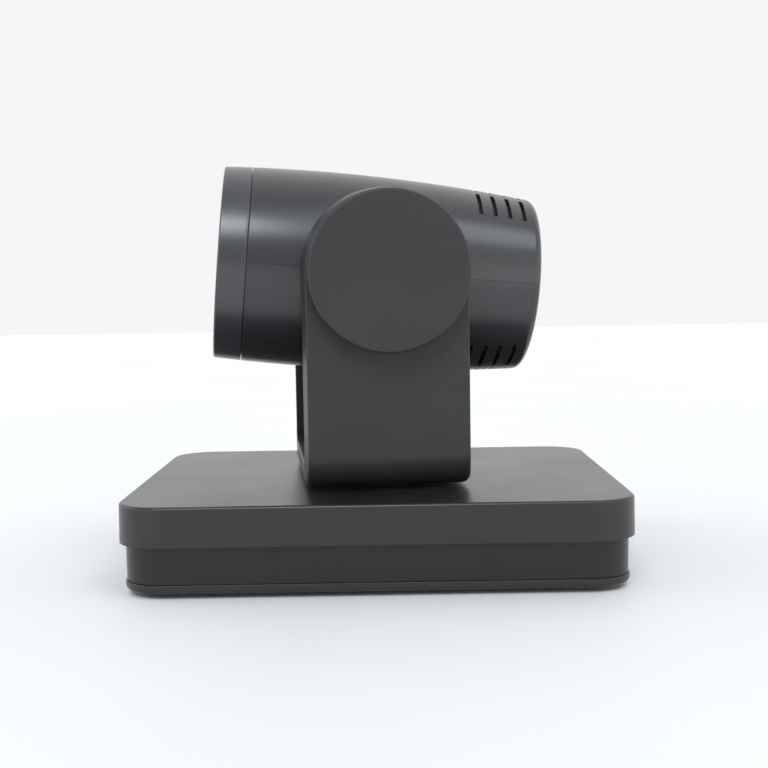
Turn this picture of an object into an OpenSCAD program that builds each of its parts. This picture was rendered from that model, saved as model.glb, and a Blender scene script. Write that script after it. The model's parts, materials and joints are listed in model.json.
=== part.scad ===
// Pan-tilt-zoom conference camera: flat base, U-shaped yoke, barrel-shaped head.
// Millimetres, +Z up, origin at the middle of the base's underside.
// The camera's front faces -X and the connector panel faces +X.

/* [Base] */
// Length of the base, front to back
base_l = 200; // [190:1:220]
// Width of the base, side to side
base_w = 162; // [158:1:180]
// Height of the base cover's top face
base_top = 35.7; // [35.7:0.1:38]
// Height of the seam under the base cover
seam_z = 20.1; // [19.5:0.1:21]
// Radius of the base's upright corners
corner_r = 18; // [14:0.5:22]
// Radius of the cover's top edge
cover_edge = 1.2; // [0.6:0.1:2.2]
// Radius of the bottom pan's lower edge
edge_r = 2; // [1:0.1:2.2]
// How far the lower shell stands back from the cover
band_inset = 2.4; // [2:0.1:3]

/* [Yoke] */
// Height of the yoke's underside
yoke_z = 36.9; // [36.6:0.1:38.5]
// Half the clear width between the arms
arm_in = 44; // [43.5:0.1:45]
// Half the width over the arms' outer faces
arm_out = 54; // [53:0.5:56]
// Half the breadth of an arm at its inner face
arm_half_in = 33.6; // [33:0.1:35]
// Half the breadth of an arm at its outer face
arm_half_out = 32.2; // [32:0.1:33]
// Radius of a round hub cap
cap_r = 31.7; // [31.5:0.1:32]
// How far a hub cap stands out of its arm
cap_h = 10; // [9.5:0.5:12]
// Height of the tilt axis
tilt_z = 122.9; // [120:0.1:126]
// Pan angle at rest
pan_rest = 6.1; // [-10:0.1:10]

/* [Head] */
// Largest radius of the barrel
barrel_r = 41.8; // [41:0.1:42.2]
// Radius of the barrel's lengthwise bow
bow_r = 753; // [600:1:900]
// Place of the largest radius, ahead of the tilt axis
bow_s = 23; // [15:1:30]
// Front face, ahead of the tilt axis
head_front = 66.5; // [64:0.5:68]
// Rear face, behind the tilt axis
head_rear = 65.8; // [64:0.1:66]
// Seam between the front ring and the shells, ahead of the tilt axis
ring_s = 54.85; // [54:0.05:56]
// Drop of the barrel's axis below the tilt axis
axis_drop = 0.4; // [0:0.1:1]
// Tilt angle at rest, front up
tilt_rest = 5.1; // [-5:0.1:10]
// Width of a vent slot
slot_w = 1.8; // [1.2:0.1:2]
// Distance from one vent slot to the next
slot_pitch = 6.25; // [5.5:0.05:6.5]

/* [Drives] */
// Module of all gears
gear_module = 0.8; // [0.8]
// Teeth on the pan gear
pan_teeth = 60; // [60]
// Teeth on the pan pinion
pan_pinion_teeth = 15; // [15]
// Teeth on the tilt gear
tilt_teeth = 40; // [40]
// Teeth on the tilt pinion
tilt_pinion_teeth = 12; // [12]

/* [Hidden] */
$fn = 96;
eps = 0.01;

// Base levels
foot_h = 3;
pan_bottom = 1.8;
pan_top = 5.5;
pan_floor = 3.8;
pan_proud = 0.3;
wall = 2.2;
cover_ceiling = base_top - 2.6;
band_l = base_l - 2 * band_inset;
band_w = base_w - 2 * band_inset;
band_r = corner_r - band_inset;
lap_gap = 0.2;
lap_top = seam_z + 3.5;
boss_x = base_l / 2 - 11.5;
boss_y = base_w / 2 - 11.5;
boss_r = 5;
joint_z = 22;
board_z = 5.3;
board_t = 1.6;
board_top = board_z + board_t;
screw_r = 1.5;
fit_gap = 0.05;
run_gap = 0.04;
foot_r = 8;
foot_x = base_l / 2 - 24;
foot_y = base_w / 2 - 24;
mount_x = 12.5;
mount_y = 20;
mount_r = 1.65;
insert_r = 6;
board_screw_x = [-25, 45];
board_screw_y = 48;
window_z = 12.7;
light_y = 34;

// Connector panel
panel_x = band_l / 2 - wall;
panel_t = 1.4;
panel_half_w = 58;
panel_z0 = 6.9;
panel_z1 = 19.1;
jack_face = panel_x + panel_t;
collar_face = jack_face + 0.3;
round_z = 12.5;

// Places of the connectors along the panel, from its left end
network_y = 42;
usb_y = 22;
hdmi_y = 2;
serial_y = -16;
audio_y = -30;
selector_y = -41;
power_y = -51;

// Pan drive levels and radii
hub_r = 18;
hub_bore_r = 10;
hub_bottom = 16.5;
gear_z = 18.6;
gear_h = 4.4;
plate_z = 24;
plate_t = 2.5;
plate_screw_x = 40;
plate_screw_y = 34;
bearing_r = 26;
bearing_h = 6;
pan_centre = gear_module * (pan_teeth + pan_pinion_teeth) / 2;
pan_motor_r = 12.5;
motor_top = 16;
ear_x = 16;
ear_y = pan_centre + 4;

// Tilt drive places, measured outward from the middle of the yoke
tilt_centre = gear_module * (tilt_teeth + tilt_pinion_teeth) / 2;
frame_t = 3;
frame_out = arm_in + frame_t;
skin_in = arm_out - wall;
floor_top = 46;
floor_mid = floor_top - frame_t;
shaft_r = 5;
race_r = 9;
tilt_gear_y = 55.5;
tilt_gear_h = 4;
tilt_motor_r = 8;
tilt_motor_h = 8;
cap_wall = 1.8;
hub_screw_r = 14;
arm_screw_x = 24;
arm_screw_z = [58, 90];

// Head
split_gap = 0.12;
ring_gap = 0.15;
tube_r = 25;
tube_bore = 22;
tube_s0 = 8.5;
tube_s1 = 58;
rod_r = 1;
rod_y = 18.5;
lens_seat = 50;
zoom_s = 30;
focus_s = 14;
sensor_s = 3;
board_s = -30;
plate_s = 6.5;
cheek_y = 32;
cheek_t = 2.5;
glass_r = 37.3;
glass_s = 62;
glass_t = 1.9;
spigot_r = 38.8;
vent_s = -40;
flank_from = 21;
flank_to = 46;
crest_half = 16;
screen_t = 0.5;
screen_half = 52;
screen_s0 = -62;
screen_s1 = -36;
head_screw_y = 33.5;
head_screw_s = [-26, 22];
head_screw_depth = 8;

function barrel_at(s) = barrel_r - bow_r + sqrt(bow_r * bow_r - (s - bow_s) * (s - bow_s));

// ---------------------------------------------------------------- shared shapes

// Rectangle with round corners, centred
module round_rect(l, w, r) {
    square([l - 2 * r, w], center = true);
    square([l, w - 2 * r], center = true);
    for (x = [-1, 1], y = [-1, 1])
        translate([x * (l / 2 - r), y * (w / 2 - r)]) circle(r);
}

// Slab with round upright corners and a rounded upper edge
module soft_slab(l, w, h, r, e) {
    linear_extrude(h - e) round_rect(l, w, r);
    translate([0, 0, h - e]) linear_extrude(e) round_rect(l - 2 * e, w - 2 * e, r - e);
    for (x = [-1, 1], y = [-1, 1])
        translate([x * (l / 2 - r), y * (w / 2 - r), h - e]) quarter_ring(r - e, e);
    for (m = [0, 1])
        mirror([m, 0, 0]) translate([l / 2 - e, 0, h - e]) edge_bead(w - 2 * r, e);
    for (m = [0, 1])
        mirror([0, m, 0]) translate([0, w / 2 - e, h - e]) rotate([0, 0, 90]) edge_bead(l - 2 * r, e);
}

// Straight quarter-round bead along Y
module edge_bead(len, e) {
    rotate([90, 0, 0]) linear_extrude(len, center = true) intersection() {
        circle(e);
        square(e);
    }
}

// Quarter-round bead turned about Z
module quarter_ring(ring_r, e) {
    rotate_extrude() translate([ring_r, 0]) intersection() {
        circle(e);
        square(e);
    }
}

// A copy at each of the base's four corner bosses
module at_bosses() {
    for (x = [-1, 1], y = [-1, 1]) translate([x * boss_x, y * boss_y, 0]) children();
}

module at_feet() {
    for (x = [-1, 1], y = [-1, 1]) translate([x * foot_x, y * foot_y, 0]) children();
}

// A copy at each of the four mounting holes round the tripod insert
module at_mount_holes() {
    for (x = [-1, 1], y = [-1, 1]) translate([x * mount_x, y * mount_y, 0]) children();
}

module at_plate_screws() {
    for (x = [-1, 1], y = [-1, 1]) translate([x * plate_screw_x, y * plate_screw_y, 0]) children();
}

module at_board_screws() {
    for (x = board_screw_x, y = [-1, 1]) translate([x, y * board_screw_y, 0]) children();
}

module ring(outer, inner, h) {
    difference() {
        cylinder(r = outer, h = h);
        translate([0, 0, -1]) cylinder(r = inner, h = h + 2);
    }
}

// Half angle of an involute tooth at radius r, with a little backlash
function tooth_angle(n, r) =
    let (pr = gear_module * n / 2, br = pr * cos(20), backlash = 3.0 / n)
    let (a = r > br ? acos(br / r) : 0, inv = tan(a) * 180 / PI - a, inv0 = tan(20) * 180 / PI - 20)
    90 / n - backlash + inv0 - inv;

function polar(r, a) = [r * cos(a), r * sin(a)];

// Outline of one gear: root, flank and tip points of each tooth in turn
function gear_outline(n) =
    let (pr = gear_module * n / 2, root = pr - 1.25 * gear_module, tip = pr + gear_module)
    let (mid = pr + 0.5 * gear_module)
    [for (i = [0:n - 1]) each let (c = i * 360 / n) [
        polar(root, c - tooth_angle(n, root)), polar(pr, c - tooth_angle(n, pr)),
        polar(mid, c - tooth_angle(n, mid)), polar(tip, c - tooth_angle(n, tip)),
        polar(tip, c + tooth_angle(n, tip)), polar(mid, c + tooth_angle(n, mid)),
        polar(pr, c + tooth_angle(n, pr)), polar(root, c + tooth_angle(n, root))]];

module gear(n, h, bore) {
    difference() {
        linear_extrude(h) polygon(gear_outline(n));
        if (bore > 0) translate([0, 0, -1]) cylinder(r = bore, h = h + 2);
    }
}

// Pan-head screw, head down at z = 0, shank up
module screw(shank, len, head_r, head_h) {
    cylinder(r = head_r, h = head_h);
    translate([0, 0, head_h - eps]) cylinder(r = shank, h = len + eps);
}

// Placing: on the panned yoke, and on the tilted head
module on_yoke() rotate([0, 0, pan_rest]) children();
module on_head() on_yoke() translate([0, 0, tilt_z]) rotate([0, tilt_rest, 0]) children();

// Along the barrel: Z forward, X up, measured from the tilt axis
module along_barrel() on_head() translate([0, 0, -axis_drop]) rotate([0, -90, 0]) children();

// Along the tilt axis: Z outward to the near side, or to the far side
module to_near() rotate([90, 0, 0]) children();
module to_far() rotate([-90, 0, 0]) children();
module at_tilt() on_yoke() translate([0, 0, tilt_z]) children();

// ---------------------------------------------------------------- base

module base_cover() {
    color([0.20, 0.20, 0.21]) difference() {
        union() {
            difference() {
                translate([0, 0, seam_z]) soft_slab(base_l, base_w, base_top - seam_z, corner_r, cover_edge);
                translate([0, 0, seam_z - 1]) linear_extrude(cover_ceiling - seam_z + 1)
                    round_rect(band_l + 2 * lap_gap, band_w + 2 * lap_gap, band_r + lap_gap);
            }
            at_bosses() translate([0, 0, joint_z]) cylinder(r = boss_r - 1, h = cover_ceiling - joint_z + 1);
            at_plate_screws() translate([0, 0, plate_z + plate_t])
                cylinder(r = 4, h = cover_ceiling - plate_z - plate_t + 1);
        }
        translate([0, 0, cover_ceiling - 1]) cylinder(r = hub_r + 1, h = 10);
        at_bosses() translate([0, 0, joint_z - 1]) cylinder(r = screw_r + fit_gap, h = 9);
        at_plate_screws() translate([0, 0, plate_z]) cylinder(r = screw_r + fit_gap, h = 8);
    }
}

module base_lower_shell() {
    color([0.17, 0.17, 0.18]) difference() {
        union() {
            translate([0, 0, pan_top]) linear_extrude(lap_top - pan_top) difference() {
                round_rect(band_l, band_w, band_r);
                round_rect(band_l - 2 * wall, band_w - 2 * wall, band_r - wall);
            }
            at_bosses() translate([0, 0, pan_top]) cylinder(r = boss_r, h = joint_z - pan_top);
        }
        at_bosses() translate([0, 0, pan_top - 1]) cylinder(r = screw_r + 0.3, h = joint_z);
        translate([panel_x - 1, -panel_half_w, panel_z0 - 0.4])
            cube([wall + 2, 2 * panel_half_w, panel_z1 - panel_z0 + 0.8]);
        translate([-band_l / 2 - 1, 0, 0]) rotate([90, 0, 90])
            linear_extrude(wall + 2) translate([0, window_z]) round_rect(44, 8.4, 4.1);
        translate([-band_l / 2 - 1, light_y, window_z]) rotate([0, 90, 0]) cylinder(r = 1.6, h = wall + 2);
    }
}

module bottom_pan() {
    color([0.13, 0.13, 0.14]) difference() {
        translate([0, 0, pan_top]) mirror([0, 0, 1])
            soft_slab(band_l + 2 * pan_proud, band_w + 2 * pan_proud, pan_top - pan_bottom,
                band_r + pan_proud, edge_r);
        difference() {
            translate([0, 0, pan_floor]) linear_extrude(5)
                round_rect(band_l - 8, band_w - 8, band_r - 4);
            at_board_screws() translate([0, 0, pan_floor - 1]) cylinder(r = 3.5, h = board_z - pan_floor + 1);
            at_bosses() translate([0, 0, pan_bottom]) cylinder(r = boss_r + 1, h = pan_top - pan_bottom);
            translate([-19, -26, pan_floor - 1]) cube([38, 52, pan_top - pan_floor + 0.4]);
        }
        translate([0, 0, pan_bottom - 1]) cylinder(r = insert_r + fit_gap, h = 9);
        at_mount_holes() translate([0, 0, pan_bottom - 1]) cylinder(r = mount_r, h = 9);
        at_feet() translate([0, 0, pan_bottom - 1])
            cylinder(r = foot_r + fit_gap, h = foot_h - pan_bottom + 1);
        at_bosses() translate([0, 0, pan_bottom - 1]) cylinder(r = screw_r + 0.3, h = 9);
        at_bosses() translate([0, 0, pan_bottom - 1]) cylinder(r = 3.2, h = 2.8);
        at_board_screws() translate([0, 0, pan_floor - 0.5]) cylinder(r = 1.2, h = 9);
    }
}

module rubber_feet() {
    bevel = 0.8;
    color([0.08, 0.08, 0.08]) at_feet() {
        cylinder(r1 = foot_r - 0.6, r2 = foot_r, h = bevel);
        translate([0, 0, bevel]) cylinder(r = foot_r, h = foot_h - bevel);
    }
}

// Quarter-inch threaded insert: the thread is stood for by its core diameter
module tripod_insert() {
    color([0.75, 0.62, 0.32]) difference() {
        union() {
            translate([0, 0, pan_bottom]) cylinder(r = insert_r, h = 8.4);
            translate([0, 0, pan_top - 0.6]) cylinder(r = 8.5, h = 1.6);
        }
        translate([0, 0, pan_bottom - 1]) cylinder(r = 2.7, h = 8);
    }
}

module base_screws() {
    color([0.45, 0.45, 0.47]) {
        at_bosses() translate([0, 0, pan_bottom + 0.2]) screw(screw_r, 25, 2.9, 1.6);
        for (x = [-1, 1]) translate([x * ear_x, ear_y, motor_top - 2.4]) screw(1.05, 5, 2, 1.2);
        at_plate_screws() translate([0, 0, plate_z - 1.4]) screw(screw_r, 7.6, 2.8, 1.4);
        at_board_screws() translate([0, 0, board_top + 1.2]) mirror([0, 0, 1]) screw(1.15, 3.4, 2.4, 1.2);
    }
}

module main_board() {
    front = -60;
    half_w = 62;
    color([0.05, 0.30, 0.16]) difference() {
        translate([front, -half_w, board_z]) cube([panel_x - 2 - front, 2 * half_w, board_t]);
        translate([0, 0, board_z - 1]) cylinder(r = 12, h = 5);
        at_board_screws() translate([0, 0, board_z - 1]) cylinder(r = 1.3, h = 5);
        translate([front - 1, -half_w - 1, board_z - 1]) cube([34, 34, 5]);
    }
}

module board_chips() {
    color([0.08, 0.08, 0.09]) {
        for (x = [20, 42], y = [-30, -8]) translate([x, y, board_top]) cube([12, 12, 1.6]);
        translate([-48, 22, board_top]) cube([16, 16, 2]);
        for (i = [0:3]) translate([56 + 8 * i, 8, board_top]) cylinder(r = 3, h = 7);
    }
}

module heat_sink() {
    color([0.7, 0.7, 0.72]) translate([-58, -20, board_top]) {
        cube([26, 36, 1.6]);
        for (i = [0:6]) translate([i * 4, 0, 1.5]) cube([1.4, 36, 5]);
    }
}

module rear_panel() {
    color([0.14, 0.14, 0.15]) translate([panel_x, 0, 0]) difference() {
        translate([0, -panel_half_w + 0.2, panel_z0 - 0.2])
            cube([panel_t, 2 * panel_half_w - 0.4, panel_z1 - panel_z0 + 0.4]);
        translate([-1, network_y - 8.2, panel_z0 - 1]) cube([5, 16.4, 12.3]);
        translate([-1, usb_y - 6.8, panel_z0 - 1]) cube([5, 13.6, 8.4]);
        translate([-1, hdmi_y - 7.7, panel_z0 - 1]) cube([5, 15.4, 7.5]);
        for (p = [[serial_y, 4.85], [audio_y, 3.1], [selector_y, 4.25], [power_y, 4.2]])
            translate([-1, p[0], round_z]) rotate([0, 90, 0]) cylinder(r = p[1], h = 5);
    }
}

// Rectangular jack: block with a mouth that opens at the panel
module box_jack(w, h, depth, mouth_w, mouth_h, mouth_z, mouth_d) {
    difference() {
        translate([jack_face - depth, -w / 2, board_top]) cube([depth, w, h]);
        translate([jack_face - mouth_d, -mouth_w / 2, board_top + mouth_z])
            cube([mouth_d + 1, mouth_w, mouth_h]);
    }
}

module network_jack() {
    color([0.72, 0.72, 0.74]) translate([0, network_y, 0]) difference() {
        box_jack(16, 11, 17, 11.8, 7.4, 1.6, 13);
        translate([jack_face - 13, -3.2, board_top + 0.6]) cube([14, 6.4, 2]);
    }
}

module hdmi_jack() {
    color([0.72, 0.72, 0.74]) translate([0, hdmi_y, 0]) {
        box_jack(15, 6, 12, 14, 4.8, 0.6, 10);
        translate([jack_face - 11, -5.5, board_top + 2.6]) cube([10, 11, 1.2]);
    }
}

module usb_jack() {
    color([0.72, 0.72, 0.74]) translate([0, usb_y, 0]) {
        box_jack(13.2, 7, 14, 12.2, 5.2, 0.9, 11);
        translate([jack_face - 12, -5.2, board_top + 3.7]) cube([10.5, 10.4, 1.6]);
    }
}

// Round jack: block behind the panel, collar through it, and a bore
module round_jack(collar_r, block_w, bore, bore_d) {
    difference() {
        union() {
            translate([panel_x - 11, -block_w / 2, board_top]) cube([11, block_w, 11]);
            translate([panel_x - 1, 0, round_z]) rotate([0, 90, 0])
                cylinder(r = collar_r, h = collar_face - panel_x + 1);
        }
        translate([collar_face - bore_d, 0, round_z]) rotate([0, 90, 0]) cylinder(r = bore, h = bore_d + 1);
    }
}

module serial_jack() {
    color([0.1, 0.1, 0.1]) translate([0, serial_y, 0]) {
        round_jack(4.7, 13, 4, 6);
        translate([collar_face - 6.5, -1.2, round_z - 1.5]) cube([4.5, 2.4, 1]);
        for (a = [0:60:300]) translate([collar_face - 6.5, 2.6 * cos(a), round_z + 2.6 * sin(a)])
            rotate([0, 90, 0]) cylinder(r = 0.35, h = 5);
    }
}

module audio_jack() {
    color([0.1, 0.1, 0.1]) translate([0, audio_y, 0]) round_jack(2.95, 9, 1.8, 10);
}

module power_jack() {
    color([0.1, 0.1, 0.1]) translate([0, power_y, 0]) {
        round_jack(4.05, 9.6, 3, 9);
        translate([collar_face - 9.5, 0, round_z]) rotate([0, 90, 0]) cylinder(r = 1, h = 8);
    }
}

module selector_body() {
    color([0.2, 0.25, 0.45]) translate([panel_x - 9, selector_y - 5, board_top]) difference() {
        cube([7, 10, 10.6]);
        translate([3, 5, round_z - board_top]) rotate([0, 90, 0]) cylinder(r = 1.5 + run_gap, h = 5);
    }
}

module selector_knob() {
    color([0.85, 0.85, 0.83]) translate([0, selector_y, round_z]) rotate([0, 90, 0]) difference() {
        union() {
            translate([0, 0, panel_x - 5.5]) cylinder(r = 1.5, h = 4.5);
            translate([0, 0, panel_x - 1.6]) cylinder(r = 4, h = panel_t + 1.9);
        }
        translate([-3.2, -0.6, jack_face - 0.5]) cube([6.4, 1.2, 2]);
        translate([-3.8, -0.25, jack_face + 0.1]) cube([1.4, 0.5, 1]);
    }
}

module ir_window() {
    color([0.10, 0.03, 0.04]) translate([-band_l / 2, 0, window_z]) rotate([90, 0, 90]) {
        translate([0, 0, 0.2]) linear_extrude(wall - 0.2) round_rect(43.6, 8, 3.9);
        translate([0, 0, wall]) linear_extrude(1) round_rect(47, 11, 3.9);
    }
}

module status_light() {
    color([0.6, 0.75, 0.95]) translate([-band_l / 2, light_y, window_z]) rotate([0, 90, 0]) {
        cylinder(r = 1.5, h = wall);
        translate([0, 0, wall]) cylinder(r = 2.4, h = 3);
    }
}

// ---------------------------------------------------------------- pan drive

module pan_plate() {
    color([0.62, 0.63, 0.65]) difference() {
        union() {
            translate([0, 0, plate_z]) linear_extrude(plate_t) {
                circle(34);
                round_rect(2 * plate_screw_x + 12, 2 * plate_screw_y + 12, 6);
            }
            translate([0, 0, plate_z + plate_t - eps]) cylinder(r = bearing_r + 2.5, h = bearing_h - 0.4);
            for (x = [-1, 1]) translate([x * ear_x, ear_y, motor_top])
                cylinder(r = 2.6, h = plate_z - motor_top + 1);
        }
        translate([0, 0, plate_z - 1]) cylinder(r = hub_r + 2, h = 20);
        translate([0, 0, plate_z + plate_t]) cylinder(r = bearing_r + fit_gap, h = 20);
        at_plate_screws() translate([0, 0, plate_z - 1]) cylinder(r = screw_r + 0.2, h = 9);
        for (x = [-1, 1]) translate([x * ear_x, ear_y, motor_top - 1]) cylinder(r = 1.1, h = 6);
    }
}

module pan_bearing() {
    color([0.78, 0.79, 0.8]) translate([0, 0, plate_z + plate_t]) ring(bearing_r, hub_r + run_gap, bearing_h);
}

module pan_motor() {
    color([0.5, 0.5, 0.52]) difference() {
        union() {
            translate([0, pan_centre, board_top + 0.5])
                cylinder(r = pan_motor_r, h = motor_top - board_top - 0.5);
            translate([0, ear_y, motor_top - 1.2]) linear_extrude(1.2) round_rect(2 * ear_x + 8, 8, 3.9);
        }
        translate([0, pan_centre, 9]) cylinder(r = 1 + run_gap, h = 10);
        for (x = [-1, 1]) translate([x * ear_x, ear_y, 10]) cylinder(r = 1.2, h = 8);
    }
}

// A tooth gap of the pinion faces a tooth of the gear, so the pair is in mesh at rest
module pan_pinion() {
    shaft_z = 9.6;
    color([0.72, 0.6, 0.3]) translate([0, pan_centre, 0]) {
        translate([0, 0, gear_z]) rotate([0, 0, 270 - 180 / pan_pinion_teeth])
            gear(pan_pinion_teeth, gear_h, 0);
        translate([0, 0, shaft_z]) cylinder(r = 1, h = gear_z + gear_h + 0.6 - shaft_z);
    }
}

module at_hub_screws() {
    for (a = [45:90:315]) rotate([0, 0, a]) translate([hub_screw_r, 0, 0]) children();
}

module pan_hub() {
    flange_h = 0.9;
    color([0.62, 0.63, 0.65]) on_yoke() difference() {
        union() {
            translate([0, 0, hub_bottom]) cylinder(r = hub_r, h = yoke_z - hub_bottom);
            translate([0, 0, yoke_z - flange_h]) cylinder(r = 26, h = flange_h);
        }
        translate([0, 0, hub_bottom - 1]) cylinder(r = hub_bore_r, h = 30);
        at_hub_screws() translate([0, 0, yoke_z - 9]) cylinder(r = screw_r + fit_gap, h = 10);
    }
}

module pan_gear() {
    color([0.85, 0.83, 0.76]) translate([0, 0, gear_z]) rotate([0, 0, 90])
        gear(pan_teeth, gear_h, hub_r + fit_gap);
}

module pan_retainer() {
    color([0.4, 0.4, 0.42]) translate([0, 0, hub_bottom]) ring(21, hub_r + fit_gap, gear_z - hub_bottom);
}

// ---------------------------------------------------------------- yoke

// Section of the U across the arms, from half-width h and floor z, drawn along X
module u_block(half, floor_z, r, len) {
    top = tilt_z + arm_half_in + 2;
    translate([-len / 2, 0, 0]) rotate([90, 0, 90]) linear_extrude(len) {
        translate([-half, floor_z + r]) square([2 * half, top - floor_z - r]);
        translate([-half + r, floor_z]) square([2 * (half - r), top - floor_z]);
        for (y = [-1, 1]) translate([y * (half - r), floor_z + r]) circle(r);
    }
}

// One arm, its sides leaning in towards the outer face and its top round
module arm_blank(y0, y1, w0, w1) {
    translate([0, 0, yoke_z]) linear_extrude(tilt_z - yoke_z)
        polygon([[-w0, -y0], [w0, -y0], [w1, -y1], [-w1, -y1]]);
    translate([0, -y0, tilt_z]) to_near() cylinder(h = y1 - y0, r1 = w0, r2 = w1);
}

module yoke_blank() {
    difference() {
        intersection() {
            union() {
                for (m = [0, 1]) mirror([0, m, 0])
                    arm_blank(arm_in - 0.5, arm_out, arm_half_in, arm_half_out);
                translate([-arm_half_in, -arm_in, yoke_z])
                    cube([2 * arm_half_in, 2 * arm_in, floor_top - yoke_z]);
                for (m = [0, 1]) mirror([0, m, 0]) translate([-arm_half_in, -arm_in, floor_top - 1])
                    cube([2 * arm_half_in, 12, 12]);
            }
            u_block(arm_out, yoke_z, 13, 100);
        }
        u_block(arm_in, floor_top, 8, 110);
    }
}

// Space inside the arms and under the floor
module yoke_cavity() {
    intersection() {
        u_block(skin_in, yoke_z + wall, 10.8, 61);
        union() {
            translate([0, 0, tilt_z]) rotate([90, 0, 0]) cylinder(r = 30.4, h = 140, center = true);
            translate([-30.4, -60, yoke_z]) cube([60.8, 120, tilt_z - yoke_z]);
        }
    }
}

// A copy at each screw that joins the cover to the frame, Z pointing outward
module at_arm_screws() {
    for (m = [0, 1], x = [-1, 1], z = arm_screw_z)
        mirror([0, m, 0]) translate([x * arm_screw_x, -arm_in, z]) to_near() children();
}

module yoke_frame() {
    color([0.16, 0.16, 0.17]) on_yoke() difference() {
        union() {
            intersection() {
                yoke_blank();
                u_block(frame_out, floor_mid, 9, 100);
            }
            for (m = [0, 1]) mirror([0, m, 0]) translate([0, -arm_in - 1, tilt_z]) to_near()
                cylinder(r = race_r + 2, h = 5);
            translate([0, 0, yoke_z]) cylinder(r = 24, h = floor_mid - yoke_z + 1);
        }
        translate([0, 0, tilt_z]) rotate([90, 0, 0]) cylinder(r = shaft_r + 1, h = 120, center = true);
        for (m = [0, 1]) mirror([0, m, 0]) translate([0, -arm_in - 1, tilt_z]) to_near()
            cylinder(r = race_r + fit_gap, h = 10);
        at_arm_screws() {
            translate([0, 0, -1]) cylinder(r = screw_r + 0.2, h = 9);
            translate([0, 0, -1]) cylinder(r = 3.1, h = 2.7);
        }
        translate([0, 0, yoke_z - 1]) cylinder(r = hub_bore_r, h = floor_mid - yoke_z + 1.4);
        translate([-5, -30, yoke_z + wall]) cube([10, 60, 3]);
        at_hub_screws() {
            translate([0, 0, yoke_z - 1]) cylinder(r = screw_r + 0.2, h = 20);
            translate([0, 0, floor_top - 2]) cylinder(r = 3.1, h = 5);
        }
    }
}

module yoke_cover() {
    color([0.19, 0.19, 0.20]) on_yoke() difference() {
        union() {
            difference() {
                yoke_blank();
                u_block(frame_out, floor_mid, 9, 110);
                yoke_cavity();
            }
            at_arm_screws() translate([0, 0, frame_t]) cylinder(r = 3.4, h = skin_in - frame_out + 0.5);
        }
        at_arm_screws() translate([0, 0, frame_t - 1]) cylinder(r = screw_r + fit_gap, h = 5);
        translate([0, 0, tilt_z]) rotate([90, 0, 0]) cylinder(r = 29.2, h = 140, center = true);
        translate([0, 0, yoke_z - 1]) cylinder(r = 24 + fit_gap, h = 8);
    }
}

module yoke_screws() {
    color([0.45, 0.45, 0.47]) on_yoke() {
        at_hub_screws() translate([0, 0, floor_top - 0.4]) mirror([0, 0, 1]) screw(screw_r, 15, 2.9, 1.6);
        at_arm_screws() translate([0, 0, 0.1]) screw(screw_r, 4.5, 2.9, 1.6);
    }
}

// Cup with a face that its rim rounds into, and three clips behind
module hub_cap() {
    rim = 0.6;
    difference() {
        union() {
            cylinder(r = cap_r, h = cap_h - rim);
            translate([0, 0, cap_h - rim]) cylinder(r1 = cap_r, r2 = cap_r - rim, h = rim);
        }
        translate([0, 0, -1]) cylinder(r = cap_r - cap_wall, h = cap_h - cap_wall + 1);
    }
    for (a = [90:120:330]) rotate([0, 0, a]) translate([27.2, -3, -wall])
        cube([1.6, 6, cap_h - cap_wall + wall + 0.5]);
}

module hub_cap_near() {
    color([0.20, 0.20, 0.21]) at_tilt() to_near() translate([0, 0, arm_out]) hub_cap();
}

module hub_cap_far() {
    color([0.20, 0.20, 0.21]) at_tilt() to_far() translate([0, 0, arm_out]) hub_cap();
}

module tilt_bearing() {
    color([0.78, 0.79, 0.8]) translate([0, 0, arm_in + 1]) ring(race_r, shaft_r + run_gap, 4.5);
}

module tilt_bearing_near() {
    at_tilt() to_near() tilt_bearing();
}

module tilt_bearing_far() {
    at_tilt() to_far() tilt_bearing();
}

module tilt_motor() {
    color([0.5, 0.5, 0.52]) at_tilt() to_near() translate([0, -tilt_centre, frame_out]) difference() {
        cylinder(r = tilt_motor_r, h = tilt_motor_h);
        translate([0, 0, 2]) cylinder(r = 1 + run_gap, h = tilt_motor_h);
    }
}

// A tooth gap of the pinion faces a tooth of the gear, so the pair is in mesh at rest
module tilt_pinion() {
    color([0.72, 0.6, 0.3]) at_tilt() to_near() translate([0, -tilt_centre, 0]) {
        translate([0, 0, tilt_gear_y]) rotate([0, 0, 90 - 180 / tilt_pinion_teeth])
            gear(tilt_pinion_teeth, tilt_gear_h, 0);
        translate([0, 0, frame_out + 2.5]) cylinder(r = 1, h = tilt_gear_y + tilt_gear_h - frame_out - 2);
    }
}

module angle_sensor_board() {
    color([0.05, 0.30, 0.16]) at_tilt() to_far() translate([0, 0, frame_out]) {
        ring(22, race_r + 2.2, 1.4);
        translate([14, -3, 1.4 - eps]) cube([5, 6, 1.3]);
    }
}

// ---------------------------------------------------------------- head

// Stub shaft with a flange inside the head and a spigot in the chassis
module stub_shaft(tip) {
    cheek_out = cheek_y + cheek_t;
    color([0.75, 0.76, 0.78]) difference() {
        union() {
            translate([0, 0, cheek_y]) cylinder(r = 6, h = cheek_t + 1);
            translate([0, 0, cheek_out]) cylinder(r = 11, h = 2);
            translate([0, 0, cheek_out]) cylinder(r = shaft_r, h = tip - cheek_out);
        }
        translate([0, 0, cheek_y - 1]) cylinder(r = 3, h = 40);
    }
}

module tilt_shaft_near() {
    at_tilt() to_near() stub_shaft(tilt_gear_y + tilt_gear_h + 1);
}

module tilt_shaft_far() {
    at_tilt() to_far() stub_shaft(skin_in);
}

module tilt_gear() {
    color([0.85, 0.83, 0.76]) at_tilt() to_near() translate([0, 0, tilt_gear_y]) rotate([0, 0, 270])
        gear(tilt_teeth, tilt_gear_h, shaft_r + fit_gap);
}

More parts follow.
